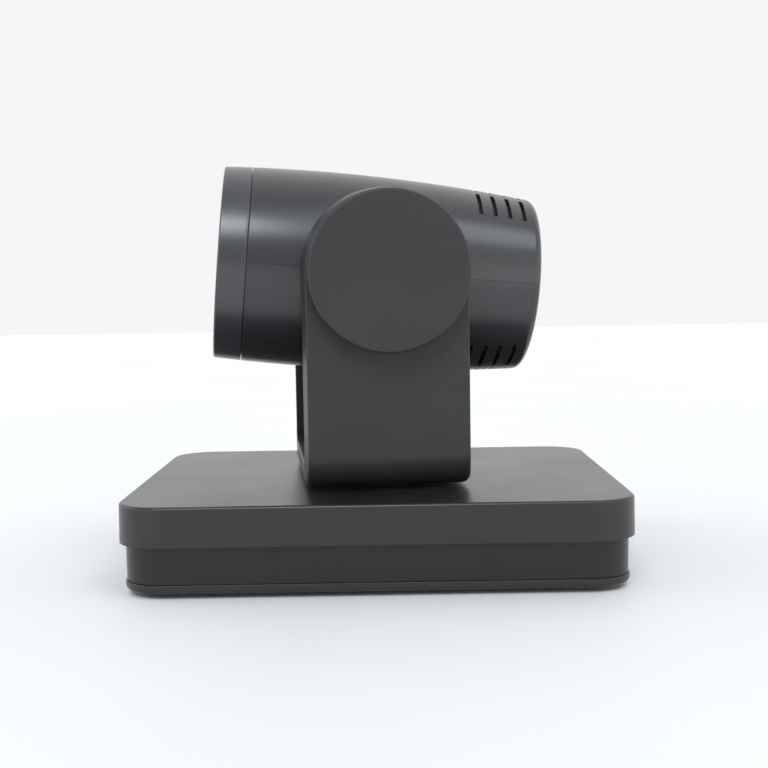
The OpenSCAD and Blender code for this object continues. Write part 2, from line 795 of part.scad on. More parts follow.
// Frame inside the head, drawn with Z forward and X up from the tilt axis
module head_chassis() {
    color([0.62, 0.63, 0.65]) on_head() rotate([0, -90, 0]) difference() {
        union() {
            translate([-17, -cheek_y - cheek_t, plate_s]) cube([34, 2 * (cheek_y + cheek_t), 2]);
            for (m = [0, 1]) mirror([0, m, 0]) {
                translate([-15, cheek_y, -18]) cube([30, cheek_t, plate_s + 19]);
                translate([-6, 20, -18]) cube([12, cheek_y - 19, 2]);
                translate([0, 24, board_s + board_t]) cylinder(r = 2, h = -17 - board_s - board_t);
            }
            for (x = [-12, 12], y = [-15, 15]) translate([x, y, sensor_s + board_t])
                cylinder(r = 2, h = plate_s - sensor_s - board_t + 1);
        }
        translate([0, 0, plate_s - 1]) cylinder(r = 12, h = 5);
        rotate([90, 0, 0]) cylinder(r = 6 + fit_gap, h = 100, center = true);
    }
}

// Barrel outline, drawn in with a skin thickness, between two stations
module barrel_section(inset, s0, s1) {
    intersection() {
        translate([barrel_r - bow_r, bow_s]) circle(bow_r - inset, $fn = 1440);
        translate([0, s0]) square([barrel_r, s1 - s0]);
    }
}

// Both shells as one: bowed wall, rounded rear edge and flat rear wall
module barrel_shell() {
    round_r = 3.5;
    round_s = round_r - head_rear;
    centre_r = barrel_at(round_s) - round_r;
    rotate_extrude($fn = 144) difference() {
        barrel_section(0, -head_rear, ring_s - ring_gap);
        translate([centre_r, -head_rear - 1]) difference() {
            square([round_r + 3, round_r + 1]);
            translate([0, round_r + 1]) circle(round_r);
        }
        barrel_section(wall, wall - head_rear, ring_s);
    }
}

// Arc of slot round the barrel at station s, between two angles from the top
module vent_slot(s, a0, a1) {
    translate([0, 0, s]) rotate([0, 0, a0]) rotate_extrude(angle = a1 - a0)
        translate([barrel_r - 12, -slot_w / 2]) square([20, slot_w]);
}

// Vents over the top: a slot on each flank and one across the middle, four times
module vents() {
    for (i = [0:3]) {
        vent_slot(vent_s - i * slot_pitch, flank_from, flank_to);
        vent_slot(vent_s - i * slot_pitch, -flank_to, -flank_from);
        vent_slot(vent_s - i * slot_pitch, -crest_half, crest_half);
    }
}

// Dust screen behind the vents of one shell
module vent_screen() {
    rotate([0, 0, -screen_half]) rotate_extrude(angle = 2 * screen_half, $fn = 144) difference() {
        barrel_section(wall + fit_gap, screen_s0, screen_s1);
        barrel_section(wall + fit_gap + screen_t, screen_s0 - 1, screen_s1 + 1);
    }
}

module vent_screen_upper() {
    color([0.10, 0.10, 0.10]) along_barrel() vent_screen();
}

module vent_screen_lower() {
    color([0.10, 0.10, 0.10]) along_barrel() mirror([1, 0, 0]) vent_screen();
}

module shell_bosses(s_list, hole) {
    for (s = s_list, y = [-1, 1]) translate([0, y * head_screw_y, s]) rotate([0, 90, 0])
        if (hole > 0) translate([0, 0, -60]) cylinder(r = hole, h = 120);
        else translate([0, 0, -40]) cylinder(r = 3.2, h = 80);
}

// The half of the barrel on the +X side, with its bosses and its share of the shaft holes
module half_shell(shaft_x) {
    difference() {
        intersection() {
            union() {
                barrel_shell();
                intersection() {
                    shell_bosses(head_screw_s, 0);
                    rotate_extrude($fn = 144) barrel_section(1, 1 - head_rear, ring_s - 6);
                }
            }
            translate([split_gap / 2, -60, -100]) cube([60, 120, 200]);
        }
        vents();
        translate([shaft_x, 0, 0]) rotate([90, 0, 0]) cylinder(r = shaft_r + 0.4, h = 120, center = true);
    }
}

module head_upper_shell() {
    color([0.20, 0.20, 0.21]) along_barrel() difference() {
        half_shell(axis_drop);
        for (s = head_screw_s, y = [-1, 1]) translate([-1, y * head_screw_y, s]) rotate([0, 90, 0])
            cylinder(r = screw_r + fit_gap, h = 11);
    }
}

module head_lower_shell() {
    color([0.20, 0.20, 0.21]) along_barrel() difference() {
        mirror([1, 0, 0]) half_shell(-axis_drop);
        shell_bosses(head_screw_s, screw_r + 0.2);
        for (s = head_screw_s, y = [-1, 1]) translate([-60, y * head_screw_y, s]) rotate([0, 90, 0])
            cylinder(r = 3.1, h = 60 - head_screw_depth);
    }
}

module head_screws() {
    color([0.45, 0.45, 0.47]) along_barrel() for (s = head_screw_s, y = [-1, 1])
        translate([-head_screw_depth - 1.6, y * head_screw_y, s]) rotate([0, 90, 0])
            screw(screw_r, head_screw_depth + 8, 2.9, 1.6);
}

module front_ring() {
    edge = 0.8;
    s0 = ring_s + ring_gap;
    nose_r = barrel_at(head_front - edge) - edge;
    color([0.17, 0.17, 0.18]) along_barrel() rotate_extrude($fn = 144) difference() {
        union() {
            barrel_section(0, s0, head_front - edge);
            translate([0, s0]) square([nose_r, head_front - s0]);
            translate([nose_r, head_front - edge]) circle(edge);
            translate([0, ring_s - 5]) square([spigot_r, 6]);
        }
        translate([0, ring_s - 6]) square([glass_r + 0.1, glass_s + glass_t - ring_s + 6]);
        polygon([[0, glass_s], [glass_r - 1.4, glass_s], [glass_r - 1.4, glass_s + glass_t],
            [nose_r - 2.4, head_front + 1], [0, head_front + 1]]);
    }
}

module front_glass() {
    color([0.35, 0.40, 0.45, 0.4]) along_barrel() translate([0, 0, glass_s])
        cylinder(r = glass_r, h = glass_t);
}

// Funnel between the glass and the lens tube
module front_baffle() {
    color([0.05, 0.05, 0.05]) along_barrel() rotate_extrude($fn = 144)
        polygon([[tube_r + 0.4, 53], [tube_r + 1.8, 53], [glass_r - 0.2, glass_s - 1.2],
            [glass_r - 0.2, glass_s - 0.1], [glass_r - 2, glass_s - 0.1], [tube_r + 0.4, 54.5]]);
}

module lens_tube() {
    color([0.09, 0.09, 0.09]) along_barrel() difference() {
        union() {
            translate([0, 0, tube_s0]) cylinder(r = tube_r, h = tube_s1 - tube_s0);
            intersection() {
                translate([0, 0, tube_s0]) cylinder(r = tube_r + 3, h = 2);
                translate([-16, -40, 0]) cube([32, 80, 20]);
            }
        }
        translate([0, 0, tube_s0 + 2]) cylinder(r = tube_bore, h = 37.5);
        translate([0, 0, tube_s0 + 39]) cylinder(r = 16.4, h = 8);
        translate([0, 0, lens_seat]) cylinder(r = tube_bore, h = 20);
        translate([0, 0, tube_s0 - 1]) cylinder(r = 12, h = 5);
        for (y = [-1, 1]) translate([0, y * rod_y, tube_s0 + 38]) cylinder(r = rod_r + 0.02, h = 2);
    }
}

// Glass disc with a bulging front, and a bulging back if two-sided
module lens_disc(r, bulge_r, edge_t, two_sided) {
    rotate_extrude() {
        square([r, edge_t]);
        translate([0, edge_t]) lens_bulge(r, bulge_r);
        if (two_sided) mirror([0, 1]) lens_bulge(r, bulge_r);
    }
}

module lens_bulge(r, bulge_r) {
    rise = sqrt(bulge_r * bulge_r - r * r);
    intersection() {
        translate([0, -rise]) circle(bulge_r, $fn = 360);
        translate([0, -0.2]) square([r, bulge_r]);
    }
}

module front_lens() {
    color([0.55, 0.60, 0.75, 0.5]) along_barrel() translate([0, 0, lens_seat])
        lens_disc(tube_bore - 0.1, 48, 2.5, false);
}

module guide_rods() {
    color([0.8, 0.8, 0.82]) along_barrel() for (y = [-1, 1])
        translate([0, y * rod_y, tube_s0 + 2]) cylinder(r = rod_r, h = 37.5);
}

module lens_cell(s, h, bore) {
    along_barrel() translate([0, 0, s]) difference() {
        cylinder(r = tube_bore - 0.5, h = h);
        translate([0, 0, -1]) cylinder(r = bore, h = h + 2);
        for (y = [-1, 1]) translate([0, y * rod_y, -1]) cylinder(r = rod_r + run_gap, h = h + 2);
    }
}

module zoom_cell() {
    color([0.12, 0.12, 0.12]) lens_cell(zoom_s, 5, 14);
}

module zoom_lens() {
    color([0.55, 0.60, 0.75, 0.5]) along_barrel() translate([0, 0, zoom_s + 1.5])
        lens_disc(13.95, 60, 2, true);
}

module focus_cell() {
    color([0.12, 0.12, 0.12]) lens_cell(focus_s, 4, 11);
}

module focus_lens() {
    color([0.55, 0.60, 0.75, 0.5]) along_barrel() translate([0, 0, focus_s + 1.2])
        lens_disc(10.95, 50, 1.6, true);
}

module image_sensor() {
    color([0.25, 0.28, 0.35]) along_barrel() translate([-5, -6, sensor_s + board_t]) cube([10, 12, 1.5]);
}

module sensor_board() {
    color([0.05, 0.30, 0.16]) along_barrel() translate([-15, -18, sensor_s]) cube([30, 36, board_t]);
}

module video_board() {
    color([0.05, 0.30, 0.16]) along_barrel() translate([-23, -27, board_s]) cube([46, 54, board_t]);
}

module video_chips() {
    color([0.08, 0.08, 0.09]) along_barrel() {
        translate([-8, -8, board_s - 1.8]) cube([16, 16, 1.8]);
        for (x = [-18, 12]) translate([x, -22, board_s - 1.4]) cube([7, 10, 1.4]);
    }
}

base_cover();
base_lower_shell();
bottom_pan();
rubber_feet();
tripod_insert();
base_screws();
main_board();
board_chips();
heat_sink();
rear_panel();
network_jack();
hdmi_jack();
usb_jack();
serial_jack();
audio_jack();
power_jack();
selector_body();
selector_knob();
ir_window();
status_light();
pan_plate();
pan_bearing();
pan_motor();
pan_pinion();
pan_hub();
pan_gear();
pan_retainer();
yoke_frame();
yoke_cover();
yoke_screws();
hub_cap_near();
hub_cap_far();
tilt_bearing_near();
tilt_bearing_far();
tilt_motor();
tilt_pinion();
angle_sensor_board();
tilt_shaft_near();
tilt_shaft_far();
tilt_gear();
head_chassis();
head_upper_shell();
head_lower_shell();
vent_screen_upper();
vent_screen_lower();
front_ring();
front_glass();
head_screws();
lens_tube();
front_lens();
guide_rods();
zoom_cell();
zoom_lens();
focus_cell();
focus_lens();
image_sensor();
sensor_board();
video_board();
video_chips();
front_baffle();
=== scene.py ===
"""Looks of the pan-tilt-zoom camera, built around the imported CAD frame.

Shapes are in millimetres, and MM turns them into the frame's metres when a mesh is made. Materials and
lamps use metres.
"""
import json
import math

import bmesh
import bpy
from mathutils import Matrix, Vector


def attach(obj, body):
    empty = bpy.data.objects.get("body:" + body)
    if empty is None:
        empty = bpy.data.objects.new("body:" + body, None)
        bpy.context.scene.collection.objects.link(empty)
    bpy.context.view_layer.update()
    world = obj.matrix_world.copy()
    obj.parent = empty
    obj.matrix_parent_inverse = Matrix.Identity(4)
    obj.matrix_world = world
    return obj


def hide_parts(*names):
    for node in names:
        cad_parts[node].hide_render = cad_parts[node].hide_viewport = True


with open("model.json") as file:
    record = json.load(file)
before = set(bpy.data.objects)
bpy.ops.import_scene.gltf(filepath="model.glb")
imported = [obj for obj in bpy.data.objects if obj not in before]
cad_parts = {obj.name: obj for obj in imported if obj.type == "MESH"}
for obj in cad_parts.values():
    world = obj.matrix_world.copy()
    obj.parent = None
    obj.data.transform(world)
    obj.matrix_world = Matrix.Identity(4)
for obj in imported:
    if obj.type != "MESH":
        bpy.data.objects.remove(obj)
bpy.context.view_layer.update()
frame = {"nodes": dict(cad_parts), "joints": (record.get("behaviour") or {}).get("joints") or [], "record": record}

MM = 0.001
SCALE = Matrix.Scale(MM, 4)
joint = {j["name"]: j for j in frame["joints"]}


# ------------------------------------------------------------------ places, all read from the frame

def turned(angle, axis):
    return Matrix.Rotation(angle, 4, axis)


tilt_axis = Vector(joint["tilt"]["axis"])
barrel_way = Vector(joint["zoom"]["axis"])
tilt_z = joint["tilt"]["pos_m"][2] / MM
pan_rest = math.atan2(-tilt_axis.x, tilt_axis.y)
tilt_rest = math.asin(barrel_way.z)

BASE = Matrix.Identity(4)
YOKE = turned(pan_rest, "Z")
TILT = YOKE @ Matrix.Translation((0, 0, tilt_z))
HEAD = TILT @ turned(tilt_rest, "Y")


def span(node, place=BASE):
    """Lowest and highest corner of a CAD node in a place's own axes, in millimetres."""
    back = (place.inverted() @ Matrix.Scale(1 / MM, 4))
    points = [back @ v.co for v in frame["nodes"][node].data.vertices]
    return (Vector([min(p[i] for p in points) for i in range(3)]),
            Vector([max(p[i] for p in points) for i in range(3)]))


def islands(node, place=BASE):
    """The separate solids of a CAD node: a list of their points in a place's own axes."""
    back = (place.inverted() @ Matrix.Scale(1 / MM, 4))
    mesh = bmesh.new()
    mesh.from_mesh(frame["nodes"][node].data)
    bmesh.ops.remove_doubles(mesh, verts=mesh.verts, dist=1e-6)
    seen, found = set(), []
    for start in mesh.verts:
        if start in seen:
            continue
        seen.add(start)
        queue, group = [start], []
        while queue:
            v = queue.pop()
            group.append(back @ v.co)
            for e in v.link_edges:
                w = e.other_vert(v)
                if w not in seen:
                    seen.add(w)
                    queue.append(w)
        found.append(group)
    mesh.free()
    return found


# The barrel's own axes: Z forward along the barrel, X up, Y to the far side, from the tilt axis
ring_low, ring_high = span("front_ring", HEAD)
axis_drop = -(ring_low.z + ring_high.z) / 2
BARREL = HEAD @ Matrix.Translation((0, 0, -axis_drop)) @ turned(-math.pi / 2, "Y")
NEAR = TILT @ turned(math.pi / 2, "X")
FAR = TILT @ turned(-math.pi / 2, "X")
# The connector panel's axes: Z out of the panel, X to the far side, Y up
OUTWARD = BASE @ turned(math.pi / 2, "Z") @ turned(math.pi / 2, "X")


def metres(place):
    """A place above, whose offsets are millimetres, as the matrix that takes millimetres to metres."""
    m = place.copy()
    m.translation = place.translation * MM
    return m @ SCALE


# ------------------------------------------------------------------ mesh building

SHARP = 35


def new_object(name, data):
    thing = bpy.data.objects.new(name, data)
    bpy.context.scene.collection.objects.link(thing)
    return thing


def mesh_data(name, mesh):
    """Mesh data from a bmesh, which is freed."""
    data = bpy.data.meshes.new(name)
    mesh.to_mesh(data)
    mesh.free()
    return data


def soften(piece, sharp=SHARP):
    """Soft shading, but for edges that turn by more than sharp degrees."""
    piece.data.shade_smooth()
    piece.data.set_sharp_from_angle(angle=math.radians(sharp))


def new_piece(name, mesh, sharp=SHARP):
    """A shown object from a bmesh in metres: outward normals, soft shading and kept sharp edges."""
    bmesh.ops.remove_doubles(mesh, verts=mesh.verts, dist=2e-7)
    bmesh.ops.dissolve_degenerate(mesh, edges=mesh.edges, dist=1e-7)
    bmesh.ops.recalc_face_normals(mesh, faces=mesh.faces)
    piece = new_object(name, mesh_data(name, mesh))
    soften(piece, sharp)
    weighted = piece.modifiers.new("weighted", "WEIGHTED_NORMAL")
    weighted.keep_sharp = True
    return piece


def rect(x0, y0, x1, y1):
    return [(x0, y0), (x1, y0), (x1, y1), (x0, y1)]


def face_of(node, grow=0.0):
    """A node's outline in y and z, grown on all sides."""
    low, high = span(node)
    return rect(low.y - grow, low.z - grow, high.y + grow, high.z + grow)


def arc(cx, cy, r, degrees):
    """Points about (cx, cy) at each of the given angles."""
    return [(cx + r * math.cos(math.radians(a)), cy + r * math.sin(math.radians(a))) for a in degrees]


def steps_to(start, end, count):
    """Even steps from start to end, without start itself."""
    return [start + (end - start) * i / count for i in range(1, count + 1)]


def rounded(points, radii, steps=4):
    """A closed outline with its corners rounded. radii is one number or one per corner."""
    if not isinstance(radii, (list, tuple)):
        radii = [radii] * len(points)
    out = []
    for i, (p, r) in enumerate(zip(points, radii)):
        here = Vector(p)
        before = (Vector(points[i - 1]) - here).normalized()
        after = (Vector(points[(i + 1) % len(points)]) - here).normalized()
        if r <= 0:
            out.append(tuple(here))
            continue
        half = before.angle(after) / 2
        reach = r / math.tan(half)
        centre = here + (before + after).normalized() * (r / math.sin(half))
        a = here + before * reach - centre
        b = here + after * reach - centre
        turn = math.atan2(a.x * b.y - a.y * b.x, a.dot(b))
        for k in range(steps + 1):
            c, s = math.cos(turn * k / steps), math.sin(turn * k / steps)
            out.append((centre.x + a.x * c - a.y * s, centre.y + a.x * s + a.y * c))
    return out


def skin(mesh, rings, closed_ring=True, closed_stack=False):
    """Quads between each ring of vertices and the next."""
    n = len(rings[0])
    pairs = list(zip(rings, rings[1:]))
    if closed_stack:
        pairs.append((rings[-1], rings[0]))
    for low, high in pairs:
        for i in range(n if closed_ring else n - 1):
            j = (i + 1) % n
            mesh.faces.new((low[i], low[j], high[j], high[i]))


def close_ends(mesh, rings):
    """Faces over the first and the last ring of a stack."""
    mesh.faces.new(list(reversed(rings[0])))
    mesh.faces.new(rings[-1])


def lathe_mesh(profile, place, segments=128):
    """Turns a closed outline of (radius, height) points about the place's Z axis."""
    mesh = bmesh.new()
    rings = []
    for i in range(segments):
        a = math.radians(360 * i / segments)
        c, s = math.cos(a), math.sin(a)
        rings.append([mesh.verts.new(place @ Vector((r * c, r * s, h))) for r, h in profile])
    skin(mesh, rings, closed_stack=True)
    return mesh


def extrude_mesh(outline, place, z0, z1, edge=0.0):
    """A convex outline drawn from z0 to z1, with rounded rims where edge is above 0."""
    mesh = bmesh.new()
    steps = 3
    layers = []
    for k in range(steps + 1 if edge else 1):
        a = math.pi / 2 * (1 - k / steps) if edge else 0
        layers.append((edge * (1 - math.cos(a)), z0 + edge * (1 - math.sin(a))))
    layers += [(inset, z0 + z1 - z) for inset, z in reversed(layers)]
    rings = []
    for inset, z in layers:
        shrunk = inset_outline(outline, inset) if inset else outline
        rings.append([mesh.verts.new(place @ Vector((x, y, z))) for x, y in shrunk])
    skin(mesh, rings)
    close_ends(mesh, rings)
    return mesh


def inset_outline(outline, inset):
    """The outline drawn in by inset, each point along its own corner's bisector."""
    out = []
    following = outline[1:] + outline[:1]
    area = sum(p[0] * q[1] - q[0] * p[1] for p, q in zip(outline, following))
    side = 1 if area > 0 else -1
    for i, (p, q) in enumerate(zip(outline, following)):
        here = Vector(p)
        before = (here - Vector(outline[i - 1])).normalized()
        after = (Vector(q) - here).normalized()
        n0 = Vector((-before.y, before.x)) * side
        n1 = Vector((-after.y, after.x)) * side
        way = n0 + n1
        out.append(tuple(here + way * (inset / max(way.length_squared / 2, 0.2))))
    return out


def block_mesh(low, high, place, edge=0.3):
    """A box with all its edges rounded."""
    mesh = bmesh.new()
    bmesh.ops.create_cube(mesh, size=1)
    size = Vector(high) - Vector(low)
    middle = (Vector(high) + Vector(low)) / 2
    for v in mesh.verts:
        v.co = Vector((v.co.x * size.x, v.co.y * size.y, v.co.z * size.z)) + middle
    if edge:
        bmesh.ops.bevel(mesh, geom=mesh.edges[:], offset=edge, segments=2, profile=0.5, affect="EDGES")
    mesh.transform(place)
    return mesh


def joined(*meshes):
    """One bmesh from several."""
    out = bmesh.new()
    for mesh in meshes:
        data = mesh_data("part", mesh)
        out.from_mesh(data)
        bpy.data.meshes.remove(data)
    return out


def cut(piece, *cutters):
    """Takes cutter meshes out of a piece, and leaves the result in its mesh."""
    for mesh in cutters:
        bmesh.ops.recalc_face_normals(mesh, faces=mesh.faces)
        data = mesh_data("cutter", mesh)
        tool = new_object("cutter", data)
        mod = piece.modifiers.new("cut", "BOOLEAN")
        mod.operation = "DIFFERENCE"
        mod.solver = "EXACT"
        mod.object = tool
        piece.modifiers.move(len(piece.modifiers) - 1, 0)
        bpy.context.view_layer.objects.active = piece
        bpy.ops.object.modifier_apply(modifier="cut")
        bpy.data.objects.remove(tool)
        bpy.data.meshes.remove(data)
    soften(piece)


def wear(piece, mat, body, slot, *nodes, look=None):
    """Gives a piece its body and slot, and the CAD nodes it stands for. look is a material of its own."""
    if piece.data.materials:
        piece.data.materials[0] = mat[look or slot]
    else:
        piece.data.materials.append(mat[look or slot])
    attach(piece, body)
    if nodes:
        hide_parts(*nodes)


def show(name, mesh, mat, body, slot, *nodes, look=None, sharp=SHARP):
    """A piece that is finished once it has its mesh."""
    wear(new_piece(name, mesh, sharp), mat, body, slot, *nodes, look=look)


def circle(r, count=64, cx=0.0, cy=0.0):
    return [(cx + r * math.cos(2 * math.pi * i / count), cy + r * math.sin(2 * math.pi * i / count))
            for i in range(count)]


def rod_mesh(r, z0, z1, place, cx=0.0, cy=0.0, count=48):
    return extrude_mesh(circle(r, count, cx, cy), place, z0, z1)


# ------------------------------------------------------------------ materials

class Nodes:
    """Short calls for building a material's node tree."""

    def __init__(self, name):
        self.material = bpy.data.materials.new(name)
        self.material.use_nodes = True
        self.tree = self.material.node_tree
        self.shader = self.tree.nodes["Principled BSDF"]
        self.where = self.tree.nodes.new("ShaderNodeTexCoord").outputs["Object"]

    def node(self, kind, **values):
        n = self.tree.nodes.new(kind)
        for key, value in values.items():
            if key in n.inputs.keys():
                n.inputs[key].default_value = value
            else:
                setattr(n, key, value)
        return n

    def link(self, a, b):
        self.tree.links.new(a, b)

    def noise(self, scale, detail=3.0, rough=0.5, stretch=None):
        n = self.node("ShaderNodeTexNoise", Scale=scale, Detail=detail, Roughness=rough)
        source = self.where
        if stretch:
            m = self.node("ShaderNodeMapping")
            m.inputs["Scale"].default_value = stretch
            self.link(source, m.inputs["Vector"])
            source = m.outputs["Vector"]
        self.link(source, n.inputs["Vector"])
        return n.outputs["Fac"]

    def fit(self, value, a, b, lo, hi):
        n = self.node("ShaderNodeMapRange")
        self.link(value, n.inputs["Value"])
        for key, v in zip(("From Min", "From Max", "To Min", "To Max"), (a, b, lo, hi)):
            n.inputs[key].default_value = v
        return n.outputs["Result"]

    def times(self, a, b):
        n = self.node("ShaderNodeMath", operation="MULTIPLY")
        for socket, v in zip(n.inputs, (a, b)):
            if isinstance(v, (int, float)):
                socket.default_value = v
            else:
                self.link(v, socket)
        return n.outputs[0]

    def blend(self, factor, a, b):
        n = self.node("ShaderNodeMix", data_type="RGBA")
        self.link(factor, n.inputs["Factor"])
        for key, v in ((6, a), (7, b)):
            if isinstance(v, (tuple, list)):
                n.inputs[key].default_value = (*v[:3], 1)
            else:
                self.link(v, n.inputs[key])
        return n.outputs[2]

    def bump(self, height, strength, distance, under=None):
        n = self.node("ShaderNodeBump", Strength=strength, Distance=distance)
        self.link(height, n.inputs["Height"])
        if under is not None:
            self.link(under, n.inputs["Normal"])
        return n.outputs["Normal"]

    def edge(self, radius):
        """1 on sharp edges, 0 on flat ground."""
        soft = self.node("ShaderNodeBevel", samples=6, Radius=radius)
        plain = self.node("ShaderNodeNewGeometry")
        dot = self.node("ShaderNodeVectorMath", operation="DOT_PRODUCT")
        self.link(soft.outputs[0], dot.inputs[0])
        self.link(plain.outputs["Normal"], dot.inputs[1])
        return self.fit(dot.outputs["Value"], 0.99, 0.80, 0.0, 1.0)

    def upward(self):
        """0 to 1 as the surface's own normal turns from level to straight up at rest."""
        n = self.node("ShaderNodeSeparateXYZ")
        self.link(self.tree.nodes["Texture Coordinate"].outputs["Normal"], n.inputs[0])
        return self.fit(n.outputs["Z"], 0.55, 0.98, 0.0, 1.0)

    def set(self, **values):
        for key, value in values.items():
            self.shader.inputs[key.replace("_", " ")].default_value = value


def tinted(colour, factor, lift=0.0):
    """A colour made paler or darker, never past white."""
    return [min(c * factor + lift, 1) for c in colour]


def plastic(name, colour, rough=0.5, grain=0.35, spread=0.12, dust=0.0, worn=1.6, specular=0.5):
    """Moulded plastic: uneven tone, fine spark-eroded grain, patchy gloss, paler edges, optional dust."""
    n = Nodes(name)
    patches = n.fit(n.noise(38, 4), 0.3, 0.7, 0, 1)
    tone = n.blend(patches, tinted(colour, 1 - spread), tinted(colour, 1 + spread))
    speck = n.fit(n.noise(1900, 2), 0.35, 0.65, 0, 1)
    tone = n.blend(n.times(speck, 0.35), tone, tinted(colour, 1 + 2 * spread))
    tone = n.blend(n.times(n.edge(0.0004), 0.5), tone, tinted(colour, worn, 0.01))
    if dust:
        clumps = n.fit(n.noise(48, 6, 0.62), 0.50, 0.80, 0, 1)
        fine = n.fit(n.noise(420, 3, 0.6), 0.42, 0.8, 0.15, 1)
        laid = n.times(n.times(n.times(clumps, fine), n.upward()), dust)
        tone = n.blend(laid, tone, (0.30, 0.30, 0.29))
    n.link(tone, n.shader.inputs["Base Color"])
    gloss = n.fit(n.noise(24, 4), 0.25, 0.75, rough - 0.03, rough + 0.03)
    n.link(gloss, n.shader.inputs["Roughness"])
    coarse = n.bump(n.noise(1500, 2, 0.6), grain * 0.6, 0.00006)
    n.link(n.bump(n.noise(4200, 2), grain, 0.00003, coarse), n.shader.inputs["Normal"])
    n.set(Specular_IOR_Level=specular)
    return n.material


def metal(name, colour, rough=0.3, brushed=None):
    """Metal: tarnish patches, fine brushing or blasting, bright edges."""
    n = Nodes(name)
    tone = n.blend(n.fit(n.noise(70, 4), 0.3, 0.7, 0, 1), tinted(colour, 0.82), tinted(colour, 1.06))
    tone = n.blend(n.times(n.edge(0.0003), 0.4), tone, tinted(colour, 1.25, 0.03))
    n.link(tone, n.shader.inputs["Base Color"])
    grain = n.noise(1600, 3, 0.6, brushed)
    n.link(n.fit(grain, 0.3, 0.7, rough - 0.08, rough + 0.1), n.shader.inputs["Roughness"])
    n.link(n.bump(grain, 0.25, 0.00002), n.shader.inputs["Normal"])
    n.set(Metallic=1.0)
    return n.material


def rubber(name):
    """Matt black rubber with a fine, uneven skin."""
    n = Nodes(name)
    tone = n.blend(n.fit(n.noise(300, 4), 0.35, 0.7, 0, 1), (0.012, 0.012, 0.012), (0.035, 0.034, 0.033))
    n.link(tone, n.shader.inputs["Base Color"])
    n.link(n.fit(n.noise(90, 3), 0.3, 0.7, 0.7, 0.9), n.shader.inputs["Roughness"])
    n.link(n.bump(n.noise(2500, 3), 0.4, 0.00005), n.shader.inputs["Normal"])
    return n.material


def board(name):
    """Solder mask with traces and copper pads seen through it."""
    n = Nodes(name)
    cells = n.node("ShaderNodeTexVoronoi", feature="DISTANCE_TO_EDGE", distance="MANHATTAN", Scale=260)
    n.link(n.where, cells.inputs["Vector"])
    trace = n.fit(cells.outputs["Distance"], 0.02, 0.08, 1, 0)
    tone = n.blend(trace, (0.010, 0.085, 0.040), (0.020, 0.150, 0.065))
    tone = n.blend(n.times(n.noise(120, 3), 0.4), tone, (0.006, 0.050, 0.025))
    n.link(tone, n.shader.inputs["Base Color"])
    n.link(n.fit(n.noise(200, 2), 0.3, 0.7, 0.28, 0.42), n.shader.inputs["Roughness"])
    n.link(n.bump(trace, 0.4, 0.00004), n.shader.inputs["Normal"])
    return n.material


def woven(name, colour):
    """Fine black mesh: threads both ways, with darker gaps between them."""
    n = Nodes(name)
    threads = []
    for turn in (0.0, math.pi / 2):
        m = n.node("ShaderNodeMapping")
        m.inputs["Rotation"].default_value = (turn, turn, 0.4)
        n.link(n.where, m.inputs["Vector"])
        wave = n.node("ShaderNodeTexWave", Scale=420.0, Distortion=0.4)
        n.link(m.outputs["Vector"], wave.inputs["Vector"])
        threads.append(wave.outputs["Fac"])
    weave = n.fit(n.times(threads[0], threads[1]), 0.05, 0.6, 0, 1)
    tone = n.blend(weave, tinted(colour, 0.3), tinted(colour, 1.5))
    n.link(tone, n.shader.inputs["Base Color"])
    n.link(n.fit(weave, 0, 1, 0.8, 0.55), n.shader.inputs["Roughness"])
    n.link(n.bump(weave, 0.6, 0.0001), n.shader.inputs["Normal"])
    return n.material


def glass(name, tint, coated, film=None):
    """Clear glass with faint wipe marks; film is the colour of its anti-reflection coating."""
    n = Nodes(name)
    n.set(Transmission_Weight=1.0, IOR=1.5, Specular_IOR_Level=coated)
    smear = n.noise(60, 5, 0.6, (1.0, 3.0, 1.0))
    n.link(n.fit(smear, 0.5, 0.8, 0.0, 0.012), n.shader.inputs["Roughness"])
    clean = n.blend(n.fit(smear, 0.4, 0.8, 0, 1), tint, tinted(tint, 0.98))
    n.link(clean, n.shader.inputs["Base Color"])
    if film:
        n.set(Specular_Tint=(*film, 1))
    return n.material


def glossy_plastic(name, colour, rough=0.12, clear=0.0):
    """Polished plastic, of which clear is the share that lets light through."""
    n = Nodes(name)
    tone = n.blend(n.fit(n.noise(140, 3), 0.3, 0.7, 0, 1), tinted(colour, 0.8), tinted(colour, 1.2))
    n.link(tone, n.shader.inputs["Base Color"])
    n.link(n.fit(n.noise(40, 5), 0.4, 0.8, rough, rough + 0.1), n.shader.inputs["Roughness"])
    n.link(n.bump(n.noise(700, 2), 0.05, 0.00002), n.shader.inputs["Normal"])
    n.set(Transmission_Weight=clear)
    return n.material


